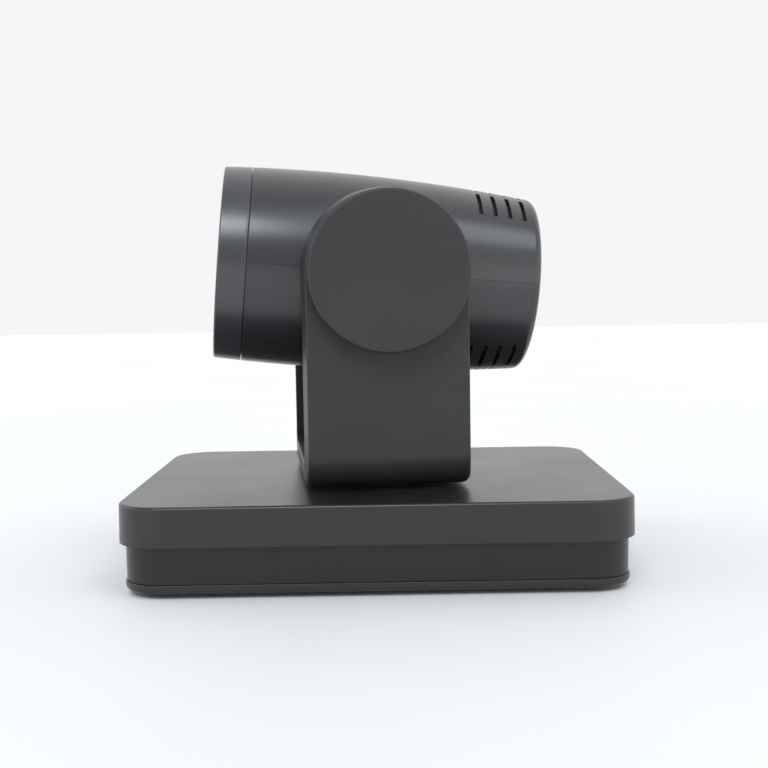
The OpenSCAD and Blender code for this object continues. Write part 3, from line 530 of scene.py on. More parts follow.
def make_materials():
    """A material for each slot of the record, and two paler copies for mouldings that share a slot with another:
    the hub caps and the front ring, whose paler tone is painted light.
    """
    colour = {m["slot"]: m["base_color"][:3] for m in frame["record"]["materials"]}
    out = {}

    def add(make, slot, share=1.0, name=None, **how):
        """share deepens the slot's colour: lit as here, the mouldings match the photo only darker."""
        name = name or slot
        out[name] = make(name, tinted(colour[slot], share), **how)

    add(plastic, "cover_plastic", 0.15, rough=0.33, grain=0.7, dust=0.16, specular=0.6)
    add(plastic, "lower_plastic", 0.18, rough=0.30, grain=0.7, specular=0.42)
    add(plastic, "yoke_plastic", 0.36, rough=0.42, grain=0.9, dust=0.10, specular=0.40)
    # painted light: the hub caps get a paler copy of the yoke plastic, standing in for the extra light on their
    # faces
    add(plastic, "yoke_plastic", 0.38, "cap_plastic", rough=0.42, grain=0.9, specular=0.40)
    add(plastic, "head_plastic", 0.38, rough=0.29, grain=0.25, specular=0.75)
    # painted light: the front ring gets a paler copy of the head plastic, standing in for the light that falls on
    # it
    add(plastic, "head_plastic", 0.55, "ring_plastic_painted_lighter", rough=0.29, grain=0.25, specular=0.85)
    add(woven, "screen_mesh")
    add(plastic, "pan_steel", 0.40, rough=0.36, grain=0.8, worn=2.5)
    out["foot_rubber"] = rubber("foot_rubber")
    out["circuit_board"] = board("circuit_board")
    add(plastic, "chip_black")
    add(plastic, "jack_plastic", rough=0.42)
    add(plastic, "selector_blue", rough=0.4)
    add(plastic, "selector_white", rough=0.4, spread=0.04, worn=1.05)
    add(plastic, "gear_plastic", rough=0.4, spread=0.05, worn=1.05)
    add(plastic, "lens_black", rough=0.6, grain=0.2, specular=0.12)
    add(metal, "brass", rough=0.28)
    add(metal, "screw_steel", rough=0.32)
    add(metal, "aluminium", rough=0.34, brushed=(1, 1, 6))
    add(metal, "jack_metal", rough=0.22)
    add(metal, "motor_metal", rough=0.3, brushed=(1, 1, 8))
    add(metal, "bearing_steel", rough=0.16)
    add(glossy_plastic, "ir_plastic", rough=0.10)
    add(glossy_plastic, "light_guide", rough=0.3, clear=0.4)
    add(glossy_plastic, "sensor_glass", rough=0.05)
    out["front_glass"] = glass("front_glass", (0.93, 0.96, 0.97), coated=0.12)
    out["lens_glass"] = glass("lens_glass", (0.78, 0.84, 0.95), coated=0.25, film=(0.55, 0.38, 0.95))
    for sub in frame["record"]["subparts"]:
        node = frame["nodes"][sub["node"]]
        node.data.materials.clear()
        node.data.materials.append(out[sub["material_slot"]])
    return out


# ------------------------------------------------------------------ base

MOUNT_HOLE = (12.5, 20)
BASE_SCREW = (88.5, 69.5)


def round_rect_ring(hx, hy, r):
    """Points around a round-cornered rectangle, the same count for every size."""
    steps, side = 10, 6
    out = []
    corners = ((1, 1), (-1, 1), (-1, -1), (1, -1))
    for k, (sx, sy) in enumerate(corners):
        cx, cy = sx * (hx - r), sy * (hy - r)
        for i in range(steps + 1):
            a = math.pi / 2 * (k + i / steps)
            out.append(Vector((cx + r * math.cos(a), cy + r * math.sin(a))))
        nx, ny = corners[(k + 1) % 4]
        a = math.pi / 2 * (k + 1)
        end = out[-1]
        start = Vector((nx * (hx - r) + r * math.cos(a), ny * (hy - r) + r * math.sin(a)))
        out += [end.lerp(start, i / side) for i in range(1, side)]
    return out


def ring_stack(layers, place):
    """Closed skin through layers of (half length, half width, corner radius, height)."""
    mesh = bmesh.new()
    rings = []
    for hx, hy, r, z in layers:
        rings.append([mesh.verts.new(place @ Vector((p.x, p.y, z))) for p in round_rect_ring(hx, hy, r)])
    skin(mesh, rings, closed_stack=True)
    return mesh


def rim(hx, hy, r, z, edge, turn0, turn1, steps):
    """Layers that round an edge: from turn0 to turn1 degrees, 0 facing out and 90 facing up."""
    out = []
    for i in range(steps + 1):
        a = math.radians(turn0 + (turn1 - turn0) * i / steps)
        grow = edge * math.cos(a) - edge
        out.append((hx + grow, hy + grow, r + grow, z + edge * math.sin(a)))
    return out


def build_base_cover(mat):
    low, high = span("base_cover")
    _, shell_high = span("base_lower_shell")
    hx, hy, top = high.x, high.y, high.z
    corner, top_edge, low_edge, draft = 18.0, 1.2, 0.25, 0.17
    skin_t, lap, hole = 2.6, 0.2, 19.0
    ceiling = top - skin_t
    inner_x, inner_y = shell_high.x + lap, shell_high.y + lap
    inner_r = corner - (hx - inner_x)
    middle = (46, 40, 26)
    layers = rim(hx, hy, corner, low.z + low_edge, low_edge, -90, 0, 3)
    layers += rim(hx - draft, hy - draft, corner - draft, top - top_edge, top_edge, 0, 90, 10)
    layers += [(hx - 14, hy - 14, corner, top), (hx - 30, hy - 24, corner + 6, top), (*middle, top)]
    layers += [(hole + grow, hole + grow, hole + grow - 0.01, top) for grow in (4, 0.3)]
    layers += [(hole, hole, hole - 0.01, top - 0.3), (hole, hole, hole - 0.01, ceiling), (*middle, ceiling)]
    layers += [(inner_x - 1, inner_y - 1, inner_r - 1, ceiling), (inner_x, inner_y, inner_r, ceiling - 1)]
    layers += [(inner_x, inner_y, inner_r, low.z + 0.1), (inner_x + 0.1, inner_y + 0.1, inner_r + 0.1, low.z)]
    show("base_cover_skin", ring_stack(layers, metres(BASE)), mat, "base", "cover_plastic", "base_cover")


def build_lower_shell(mat):
    low, high = span("base_lower_shell")
    cover_low, _ = span("base_cover")
    window_low, window_high = span("ir_window")
    light_low, light_high = span("status_light")
    hx, hy, seam = high.x, high.y, cover_low.z
    corner, wall, draft, edge, step = 15.6, 2.2, 0.15, 0.3, 0.45
    layers = rim(hx - draft, hy - draft, corner, low.z + edge, edge, -90, 0, 3)
    layers += [(hx, hy, corner, seam - step), (hx - step, hy - step, corner - step, seam - 0.25)]
    layers += rim(hx - step, hy - step, corner - step, high.z - edge, edge, 0, 90, 3)
    layers += [(hx - wall, hy - wall, corner - wall, z) for z in (high.z, low.z)]
    piece = new_piece("base_lower_shell_skin", ring_stack(layers, metres(BASE)))
    out = metres(OUTWARD)
    half_y, half_z, light_r, past = 22.0, 4.2, 1.6, 2
    mid_y, mid_z = (window_low.y + window_high.y) / 2, (window_low.z + window_high.z) / 2
    eye = rounded(rect(mid_y - half_y, mid_z - half_z, mid_y + half_y, mid_z + half_z), half_z - 0.1, 8)
    light_y, light_z = (light_low.y + light_high.y) / 2, (light_low.z + light_high.z) / 2
    cut(piece,
        extrude_mesh(rounded(face_of("rear_panel", 0.15), 1.0), out, hx - wall - past, hx + past),
        extrude_mesh(eye, out, -hx - past, -hx + wall + past),
        rod_mesh(light_r, -hx - past, -hx + wall + past, out, light_y, light_z))
    wear(piece, mat, "base", "lower_plastic", "base_lower_shell")

    window = extrude_mesh(inset_outline(eye, 0.18), out, -hx + 0.2, -hx + wall + 1, 0.5)
    show("ir_window_lens", window, mat, "base", "ir_plastic", "ir_window")
    dome = [(0, -hx - 0.1), (0.6, -hx - 0.05), (1.2, -hx + 0.12), (1.48, -hx + 0.4), (1.48, -hx + wall),
            (2.4, -hx + wall), (2.4, light_high.x), (0, light_high.x)]
    guide = lathe_mesh(dome, out @ Matrix.Translation((light_y, light_z, 0)), 48)
    show("status_light_guide", guide, mat, "base", "light_guide", "status_light")


def build_bottom_pan(mat):
    low, high = span("bottom_pan")
    _, foot_high = span("rubber_feet")
    hx, hy = high.x, high.y
    corner, floor, lip, low_edge, top_edge = 15.9, 3.8, 4.3, 2.0, 0.25
    foot_r, insert_r = 8, 6
    layers = rim(hx, hy, corner, low.z + low_edge, low_edge, -90, 0, 8)
    layers += rim(hx, hy, corner, high.z - top_edge, top_edge, 0, 90, 3)
    layers += [(hx - lip, hy - lip, corner - lip, z) for z in (high.z, floor)]
    place = metres(BASE)
    mesh = bmesh.new()
    rings = [[mesh.verts.new(place @ Vector((p.x, p.y, z))) for p in round_rect_ring(a, b, r)]
             for a, b, r, z in layers]
    skin(mesh, rings)
    close_ends(mesh, rings)
    piece = new_piece("bottom_pan_dish", mesh)
    cutters = [rod_mesh(insert_r + 0.05, 0, 9, place)]
    feet = [(sx * (foot_high.x - foot_r), sy * (foot_high.y - foot_r)) for sx in (-1, 1) for sy in (-1, 1)]
    for x, y in feet:
        sx, sy = math.copysign(1, x), math.copysign(1, y)
        cutters.append(rod_mesh(foot_r + 0.05, 0, foot_high.z, place, x, y))
        for r, top, (hole_x, hole_y) in ((1.65, 9, MOUNT_HOLE), (3.2, 3.6, BASE_SCREW), (1.8, 9, BASE_SCREW)):
            cutters.append(rod_mesh(r, 0, top, place, sx * hole_x, sy * hole_y, 32))
    cut(piece, joined(*cutters))
    wear(piece, mat, "base", "pan_steel", "bottom_pan")

    profile = [(0, 0.35), (4.6, 0.35), (5.0, 0.05), (5.5, 0), (7.0, 0), (7.5, 0.2), (7.8, 0.6), (foot_r, 1.3),
               (foot_r, foot_high.z), (0, foot_high.z)]
    pads = [lathe_mesh(profile, place @ Matrix.Translation((x, y, 0)), 64) for x, y in feet]
    show("feet", joined(*pads), mat, "base", "foot_rubber", "rubber_feet")

    low, high = span("tripod_insert")
    pitch, deep, crest, root, turns = 1.27, 7.0, 2.7, 3.15, 5
    flange_r, flange_z0, flange_z1 = 8.5, 4.9, 6.5
    profile = [(3.4, low.z), (6.0, low.z), (insert_r, flange_z0), (flange_r, flange_z0),
               (flange_r, flange_z1), (insert_r, flange_z1), (insert_r, high.z), (0, high.z),
               (0, low.z + deep), (crest, low.z + deep)]
    for i in range(turns, 0, -1):
        z = low.z + 0.5 + pitch * (i - 0.5)
        profile += [(crest, z + 0.55), (root, z), (crest, z - 0.55)]
    show("tripod_thread", lathe_mesh(profile, place, 64), mat, "base", "brass", "tripod_insert")


# ------------------------------------------------------------------ screws

def screw_form(shank, length, head_r, head_h):
    """One pan-head screw with a cross recess: head underside at 0, shank along +Z. Millimetres."""
    dome = [(0, -head_h)]
    dome += [(head_r * math.sin(math.radians(a)) ** 0.8, -head_h * math.cos(math.radians(a)) ** 0.6)
             for a in (18, 36, 54, 70, 82)]
    dome += [(head_r, -0.12), (head_r, 0), (shank + 0.1, 0), (shank, 0.15)]
    turns = max(3, int(length / (shank * 0.8)))
    for i in range(turns):
        z = 0.4 + (length - 0.9) * i / turns
        step = (length - 0.9) / turns
        dome += [(shank, z), (shank * 0.86, z + step / 2)]
    dome += [(shank, length - 0.4), (shank * 0.6, length), (0, length)]
    body = new_piece("screw_form", lathe_mesh(dome, Matrix.Identity(4), 32))
    arm, half, deep = head_r * 0.52, head_r * 0.11, head_h * 0.62
    cross = [(arm, half), (half, half), (half, arm), (-half, arm), (-half, half), (-arm, half),
             (-arm, -half), (-half, -half), (-half, -arm), (half, -arm), (half, -half), (arm, -half)]
    tool = bmesh.new()
    top = [tool.verts.new((x * 1.15, y * 1.15, -head_h - 0.4)) for x, y in cross]
    bottom = [tool.verts.new((x * 0.7, y * 0.7, -head_h + deep)) for x, y in cross]
    skin(tool, [top, bottom])
    close_ends(tool, [top, bottom])
    cut(body, tool)
    data = body.data
    bpy.data.objects.remove(body)
    return data


def corners(points):
    """Lowest and highest corner of a list of points."""
    return (Vector([min(p[i] for p in points) for i in range(3)]),
            Vector([max(p[i] for p in points) for i in range(3)]))


def round_axis(points):
    """The axis about which a screw is round: the one whose two cross sizes differ least."""
    lo, hi = corners(points)
    size = hi - lo
    best = min(range(3), key=lambda i: abs(size[(i + 1) % 3] - size[(i + 2) % 3]))
    return Vector([1.0 if i == best else 0.0 for i in range(3)])


def build_screws(name, node, place, mat, body):
    """Redraws every screw of a node, each along its own axis."""
    forms, out = {}, bmesh.new()
    for n, points in enumerate(islands(node, place)):
        turn = Vector((0, 0, 1)).rotation_difference(round_axis(points)).to_matrix().to_4x4()
        local = place @ turn
        points = [turn.inverted() @ p for p in points]
        lo, hi = corners(points)
        middle = (lo + hi) / 2
        head_r = (hi.x - lo.x) / 2
        reach = [max(math.hypot(p.x - middle.x, p.y - middle.y) for p in points if abs(p.z - z) < 0.02)
                 for z in (lo.z, hi.z)]
        shank = min(reach)
        rises = reach[0] > reach[1]
        levels = sorted({round(p.z, 2) for p in points})
        shoulder = levels[1] if rises else levels[-2]
        head_h = shoulder - lo.z if rises else hi.z - shoulder
        length = hi.z - lo.z - head_h
        key = (round(shank, 2), round(length, 1), round(head_r, 2), round(head_h, 2))
        if key not in forms:
            forms[key] = screw_form(shank, length, head_r, head_h)
        flip = Matrix.Identity(4) if rises else turned(math.pi, "X")
        spot = metres(local @ Matrix.Translation((middle.x, middle.y, shoulder)) @ flip
                      @ turned(math.radians(37 * n), "Z"))
        copy = forms[key].copy()
        copy.transform(spot)
        out.from_mesh(copy)
        bpy.data.meshes.remove(copy)
    show(name, out, mat, body, "screw_steel", node)


# ------------------------------------------------------------------ yoke

class UShape:
    """Path of a U across the arms: half its width, its floor's height and its corner radius."""

    def __init__(self, half, floor, radius):
        self.half, self.floor, self.radius = half, floor, radius

    def at(self, t):
        """Point (y, z) for t: 0 to 1 is half the floor, 1 to 2 the corner, 2 to 3 up to the tilt axis."""
        side = self.half - self.radius
        if t <= 1:
            return Vector((side * t, self.floor))
        if t <= 2:
            a = math.pi / 2 * (t - 1)
            return Vector((side + self.radius * math.sin(a), self.floor + self.radius * (1 - math.cos(a))))
        start = self.floor + self.radius
        return Vector((self.half, start + (tilt_z - start) * (t - 2)))


ARM_KNEE, ARM_OUT = 43.5, 54.0
ARM_WIDE, ARM_NARROW = 33.6, 32.2


def arm_breadth(y):
    """Half breadth of the yoke at a distance y from its middle."""
    share = max(0.0, (abs(y) - ARM_KNEE) / (ARM_OUT - ARM_KNEE))
    return ARM_WIDE + (ARM_NARROW - ARM_WIDE) * share


def yoke_plate(inner, outer, inner_edge, outer_edge, breadth=arm_breadth, low_edge=None, corner_steps=14,
               top_steps=48):
    """A plate bent to a U between two paths, with round arm tops and rounded rims.

    low_edge is the outer rim's radius along the floor; it eases into outer_edge round the bend.
    """
    stops = [i / 2 for i in range(2)] + [1 + i / corner_steps for i in range(corner_steps + 1)] + [2.5, 3]
    mesh = bmesh.new()
    place = metres(YOKE)

    def rim_points(t):
        """(across x, point in the y-z plane) from the inner face to the outer face."""
        a, b = inner.at(t), outer.at(t)
        wide, thick = breadth(a.x), (b - a).length
        narrow = breadth(b.x)
        share = min(max(2.2 - t, 0.0), 1.0)
        turn = outer_edge if low_edge is None else outer_edge + (low_edge - outer_edge) * share
        corner = rounded([(0, 0), (wide, 0), (narrow, thick), (0, thick)], [0, inner_edge, turn, 0], 6)
        way = (b - a).normalized()
        return [(x, a + way * s) for x, s in corner[1:-1]]

    def ring(t, side, mirror):
        return [mesh.verts.new(place @ Vector((side * x, mirror * p.x, p.y))) for x, p in rim_points(t)]

    path = [(t, -1) for t in reversed(stops)] + [(t, 1) for t in stops[1:]]
    right = [ring(t, 1, m) for t, m in path]
    left = [ring(t, -1, m) for t, m in path]
    for rings in (right, left):
        skin(mesh, rings, closed_ring=False)
    for k in range(len(path) - 1):
        for edge in (0, -1):
            mesh.faces.new((right[k][edge], right[k + 1][edge], left[k + 1][edge], left[k][edge]))
    for end, mirror in ((0, -1), (-1, 1)):
        section = rim_points(3)
        crown = [right[end]]
        for i in range(1, top_steps):
            a = math.pi * i / top_steps
            c, s = math.cos(a), math.sin(a)
            crown.append([mesh.verts.new(place @ Vector((x * c, mirror * p.x, tilt_z + x * s)))
                          for x, p in section])
        crown.append(left[end])
        skin(mesh, crown, closed_ring=False)
        mesh.faces.new([ring[0] for ring in crown])
        mesh.faces.new([ring[-1] for ring in crown])
    return mesh


def build_yoke(mat):
    """The inner frame and outer cover, cut for the tilt axis, the hub and the screws."""
    inner, seam, outer = UShape(44, 46, 8), UShape(47, 43, 9), UShape(54, 36.9, 13)
    tilt, place = metres(NEAR), metres(YOKE)
    shaft_hole, race_r, hub_r, cap_hole = 6, 9.05, 24.05, 29.2
    screw_r, recess_r, arm_x, arm_z, ring_r = 1.7, 3.1, 24, (58, 90), 14

    piece = new_piece("yoke_inner_frame", yoke_plate(inner, seam, 0.6, 0.22))
    holes = [rod_mesh(shaft_hole, -60, 60, tilt)]
    holes += [rod_mesh(race_r, 45, 60, tilt), rod_mesh(race_r, -60, -45, tilt)]
    for side, up in ((NEAR, 1), (FAR, -1)):
        for x in (-arm_x, arm_x):
            for z in arm_z:
                holes.append(rod_mesh(screw_r, 40, 60, metres(side), x, up * (z - tilt_z), 24))
                holes.append(rod_mesh(recess_r, 40, 45.7, metres(side), x, up * (z - tilt_z), 32))
    for x, y in arc(0, 0, ring_r, range(45, 360, 90)):
        holes.append(rod_mesh(screw_r, 36, 50, place, x, y, 24))
        holes.append(rod_mesh(recess_r, 44, 50, place, x, y, 32))
    cut(piece, *holes)
    wear(piece, mat, "yoke", "yoke_plastic", "yoke_frame")

    boss = rect(10, 36.9, 24, 42.9)
    show("yoke_hub_seat", lathe_mesh(boss, place, 96), mat, "yoke", "yoke_plastic")
    for name, side in (("near", NEAR), ("far", FAR)):
        profile = [(race_r, 47), (11, 47), (11, 48.7), (10.7, 49), (race_r, 49)]
        show("tilt_race_seat_" + name, lathe_mesh(profile, metres(side), 96), mat, "yoke", "yoke_plastic")

    piece = new_piece("yoke_outer_cover", yoke_plate(seam, outer, 0.22, 0.7, low_edge=3.4))
    cut(piece,
        yoke_plate(UShape(46, 44, 8), UShape(51.8, 39.1, 10.8), 0, 0, lambda y: 30.0, None, 8, 40),
        rod_mesh(cap_hole, 50, 60, tilt, count=96),
        rod_mesh(cap_hole, -60, -50, tilt, count=96),
        rod_mesh(hub_r, 30, 45, place, count=96))
    wear(piece, mat, "yoke", "yoke_plastic", "yoke_cover")


def build_hub_caps(mat):
    """A shallow dome over each end of the tilt axis, with three clips inside."""
    skin_t, edge, seat = 1.8, 1.1, 54.0
    for name, side in (("near", NEAR), ("far", FAR)):
        _, high = span("hub_cap_" + name, side)
        r, face = high.x, high.z
        profile = [(0, face), (r - edge - 1.2, face), (r - edge - 0.9, face - 0.03)]
        for a in range(0, 91, 15):
            c, s = math.cos(math.radians(a)), math.sin(math.radians(a))
            profile.append((r - edge + edge * s, face - 0.05 - edge * (1 - c)))
        profile += [(r, seat + 0.35), (r - 0.12, seat + 0.12), (r - 0.35, seat), (r - skin_t, seat),
                    (r - skin_t, face - skin_t - 0.6), (r - skin_t - 0.6, face - skin_t), (0, face - skin_t)]
        clips = []
        for a in (90, 210, 330):
            spot = metres(side @ turned(math.radians(a), "Z"))
            clips.append(block_mesh((27.2, -3, seat - 2.2), (28.8, 3, face - skin_t + 0.3), spot, 0.25))
        cap = joined(lathe_mesh(profile, metres(side), 192), *clips)
        # the caps' paler copy of the yoke plastic is painted light
        show("hub_cap_dome_" + name, cap, mat, "yoke", "yoke_plastic", "hub_cap_" + name, look="cap_plastic")


# ------------------------------------------------------------------ head

BOW_R, BOW_S, BARREL_R = 753.0, 23.0, 41.8
REAR, RING_S, SKIN = -65.8, 54.85, 2.2
REAR_ROUND = 3.5
VENT_S, VENT_PITCH, VENT_ROWS, VENT_WIDE = -40.0, 6.25, 4, 1.8
VENT_ARCS = ((21, 46), (-46, -21), (-16, 16))


def barrel_at(s):
    """The bowed barrel's radius at a distance s along its axis."""
    return BARREL_R - BOW_R + math.sqrt(BOW_R * BOW_R - (s - BOW_S) * (s - BOW_S))


def shell_profile():
    """Closed outline of the barrel's skin, from the front seam back to the axis and forward again."""
    front = RING_S - 0.15
    bend = REAR + REAR_ROUND
    floor = REAR + SKIN
    start = REAR + 4
    centre = barrel_at(bend) - REAR_ROUND
    out = [(barrel_at(front) - 0.22, front), (barrel_at(front) - 0.06, front - 0.07),
           (barrel_at(front - 0.22), front - 0.22)]
    out += [(barrel_at(s), s) for s in steps_to(front, bend, 22)]
    out += arc(centre, bend, REAR_ROUND, range(-10, -91, -10))
    out += [(centre * 0.6, REAR), (0, REAR), (0, floor), (barrel_at(floor) - SKIN - 1.5, floor),
            (barrel_at(start) - SKIN, start)]
    out += [(barrel_at(s) - SKIN, s) for s in steps_to(start, front, 10)]
    return out


def half_barrel(upward):
    """Half of the barrel's skin, with its rims at the split drawn in a little to leave a fine groove."""
    profile = shell_profile()
    groove, gap = 0.04, 0.06
    drawn = [(max(r, 0), s) for r, s in inset_outline(profile, groove)]
    lip = math.degrees(groove / BARREL_R)
    angles = [-90, -90 + lip]
    count = 96
    angles += [-90 + 180 * i / count for i in range(1, count)] + [90 - lip, 90]
    place = metres(BARREL)
    side = 1 if upward else -1
    mesh = bmesh.new()
    rings = []
    for i, deg in enumerate(angles):
        shape = drawn if i in (0, len(angles) - 1) else profile
        c, s = math.cos(math.radians(deg)), math.sin(math.radians(deg))
        rings.append([mesh.verts.new(place @ Vector((side * max(r * c, gap), r * s, h))) for r, h in shape])
    skin(mesh, rings)
    close_ends(mesh, rings)
    return mesh


def vent_cutter(s, a0, a1, side):
    """A slot round the barrel with nearly square ends, between two angles from its top."""
    middle, half = math.radians((a0 + a1) / 2), math.radians((a1 - a0) / 2)
    end, inside, outside, piece_len = 0.35, 33.0, 48.0, 1.0
    reach = BARREL_R * half
    outline = rounded(rect(-reach, -VENT_WIDE / 2, reach, VENT_WIDE / 2), end, 3)
    dense = []
    for p, q in zip(outline, outline[1:] + outline[:1]):
        parts = max(1, int(math.dist(p, q) / piece_len))
        dense += [(p[0] + (q[0] - p[0]) * k / parts, p[1] + (q[1] - p[1]) * k / parts) for k in range(parts)]
    mesh = bmesh.new()
    place = metres(BARREL)
    rings = []
    for r in (inside, outside):
        ring = []
        for u, v in dense:
            a = middle + u / BARREL_R
            ring.append(mesh.verts.new(place @ Vector((side * r * math.cos(a), r * math.sin(a), s + v))))
        rings.append(ring)
    skin(mesh, rings)
    close_ends(mesh, rings)
    return mesh


def build_head_shells(mat):
    """Both halves with their vents and shaft holes, and the lower one's screw tubes."""
    shaft_hole, tube_r, tube_wall = 5.4, 3.1, 0.9
    down = BARREL @ turned(-math.pi / 2, "Y")
    for name, side in (("upper", 1), ("lower", -1)):
        piece = new_piece(f"head_{name}_skin", half_barrel(side == 1))
        for i in range(VENT_ROWS):
            for a0, a1 in VENT_ARCS:
                cut(piece, vent_cutter(VENT_S - VENT_PITCH * i, a0, a1, side))
        cut(piece, rod_mesh(shaft_hole, -60, 60, metres(HEAD @ turned(math.pi / 2, "X"))))
        if side < 0:
            tubes = []
            for s in (-26, 22):
                for y in (-33.5, 33.5):
                    cut(piece, rod_mesh(tube_r, 5, 60, metres(down), s, y, 32))
                    top = math.sqrt((barrel_at(s) - 0.8) ** 2 - 36.7 ** 2) - 0.6
                    wall = rect(tube_r, 8, tube_r + tube_wall, top)
                    tubes.append(lathe_mesh(wall, metres(down @ Matrix.Translation((s, y, 0))), 32))
            show("head_screw_tubes", joined(*tubes), mat, "head", "head_plastic")
        wear(piece, mat, "head", "head_plastic", f"head_{name}_shell")


def build_front(mat):
    """The front ring, its window and the stepped hood behind it."""
    place = metres(BARREL)
    low, high = span("front_ring", BARREL)
    glass_low, glass_high = span("front_glass", BARREL)
    s0, front, edge, bevel, spigot_r = RING_S + 0.15, high.z, 0.8, 0.3, 38.8
    nose = barrel_at(front - edge) - edge
    glass_r, glass_z0, glass_z1 = glass_high.x, glass_low.z, glass_high.z
    profile = [(barrel_at(s0) - 0.25, s0), (barrel_at(s0) - 0.07, s0 + 0.07),
               (barrel_at(s0 + 0.25), s0 + 0.25)]
    profile += [(barrel_at(s), s) for s in steps_to(s0, front - edge, 8)]
    profile += arc(nose, front - edge, edge, range(15, 91, 15))
    profile += [(nose - 2.0, front), (nose - 2.35, front - 0.15), (glass_r - 1.1, glass_z1 + 0.35),
                (glass_r - 1.3, glass_z1), (glass_r + 0.1, glass_z1), (glass_r + 0.1, low.z),
                (spigot_r, low.z), (spigot_r, s0)]
    ring = lathe_mesh(profile, place, 192)
    # the ring's paler copy of the head plastic is painted light
    show("front_bezel", ring, mat, "head", "head_plastic", "front_ring", look="ring_plastic_painted_lighter")

    profile = [(0, glass_z1), (glass_r - bevel, glass_z1), (glass_r, glass_z1 - bevel),
               (glass_r, glass_z0 + bevel), (glass_r - bevel, glass_z0), (0, glass_z0)]
    show("front_window", lathe_mesh(profile, place), mat, "head", "front_glass", "front_glass")

    low, high = span("front_baffle", BARREL)
    inner, outer, rim_w, steps = 25.4, high.x, 1.2, 6
    profile = [(inner, low.z), (inner + rim_w, low.z), (outer, high.z - rim_w), (outer, high.z)]
    for i in range(steps):
        r0, r1 = (outer - rim_w - (outer - rim_w - inner) * k / steps for k in (i, i + 1))
        z0, z1 = (high.z - 0.05 - (high.z - low.z - 1.6) * k / steps for k in (i, i + 1))
        profile += [(r0, z0), (r0 - 0.08, z1 + 0.12), (r1 + 0.2, z1)]
    show("lens_hood_steps", lathe_mesh(profile, place), mat, "head", "lens_black", "front_baffle")


def build_lens(mat):
    """The lens tube with its ribbed mouth and ears, the ring that holds the glass, and the front element."""
    place = metres(BARREL)
    low, high = span("lens_tube", BARREL)
    r, front, seat, bore, ribs = 25.0, high.z, 50.0, 22.0, 7
    profile = [(r, low.z + 2), (r, front - 3.2), (r - 0.35, front - 3.0), (r - 0.35, front - 2.4),
               (r, front - 2.2), (r, front - 0.4), (r - 0.4, front), (bore + 1.2, front),
               (bore + 0.9, front - 0.3)]
    for i in range(ribs):
        z = front - 0.5 - (front - seat - 3.4) * i / ribs
        profile += [(bore + 0.55, z), (bore + 0.15, z - 0.25), (bore + 0.55, z - 0.5)]
    profile += [(bore, seat + 2.9), (bore, seat), (16.4, seat), (16.4, 48.0), (bore, 48.0), (bore, low.z + 2),
                (12, low.z + 2), (12, low.z), (20, low.z), (24.4, low.z), (r, low.z + 0.6)]
    ears = [block_mesh((-15.5, side * 24.2 - 3, low.z + 0.05), (15.5, side * 24.2 + 3, low.z + 1.95), place)
            for side in (-1, 1)]
    tube = joined(lathe_mesh(profile, place, 160), *ears)
    show("lens_barrel", tube, mat, "head", "lens_black", "lens_tube")

    grip, back = 1.1, seat + 2.75
    profile = [(20.4, back), (21.9, back), (21.9, back + grip), (20.9, back + grip), (20.4, back + 0.6)]
    keeper = new_piece("lens_retaining_ring", lathe_mesh(profile, place))
    for a in (25, 205):
        spot = metres(BARREL @ turned(math.radians(a), "Z"))
        cut(keeper, block_mesh((20, -1.1, seat + 3.3), (23, 1.1, seat + 5), spot, 0))
    wear(keeper, mat, "head", "lens_black")

    low, high = span("front_lens", BARREL)
    rim_r, rim_top, steps = high.x, seat + 2.5, 24
    rise = high.z - rim_top
    ball = (rim_r * rim_r + rise * rise) / (2 * rise)
    profile = [(0, low.z), (rim_r - 0.3, low.z), (rim_r, low.z + 0.3), (rim_r, rim_top - 0.1)]
    top = math.asin((rim_r - 0.1) / ball)
    for i in range(steps + 1):
        a = top * (1 - i / steps)
        profile.append((ball * math.sin(a), high.z - ball + ball * math.cos(a)))
    element = lathe_mesh(profile, place)
    show("front_lens_element", element, mat, "head", "lens_glass", "front_lens", sharp=50)


# ------------------------------------------------------------------ connector panel

ROUND_Z = 12.5
BOARD_TOP = 6.9


def box_jack(name, node, mouth_w, mouth_h, mouth_z, depth):
    """Metal shell with a mouth cut in its face. Gives the piece, its middle, face and mouth's floor."""
    low, high = span(node)
    y = (low.y + high.y) / 2
    face, place = high.x, metres(OUTWARD)
    piece = new_piece(name, extrude_mesh(rounded(face_of(node), 0.6), place, low.x, face, 0.2))
    z0 = BOARD_TOP + mouth_z
    mouth = rounded(rect(y - mouth_w / 2, z0, y + mouth_w / 2, z0 + mouth_h), 0.3)
    cut(piece, extrude_mesh(mouth, place, face - depth, face + 2))
    return piece, y, face, z0


def contacts(name, mat, count, pitch, y, half, x, z, edge):
    """A row of thin brass contacts across y, each from x[0] to x[1] and z[0] to z[1]."""
    blades = []
    for i in range(count):
        cy = y + (i - (count - 1) / 2) * pitch
        blades.append(block_mesh((x[0], cy - half, z[0]), (x[1], cy + half, z[1]), metres(BASE), edge))
    show(name, joined(*blades), mat, "base", "brass")


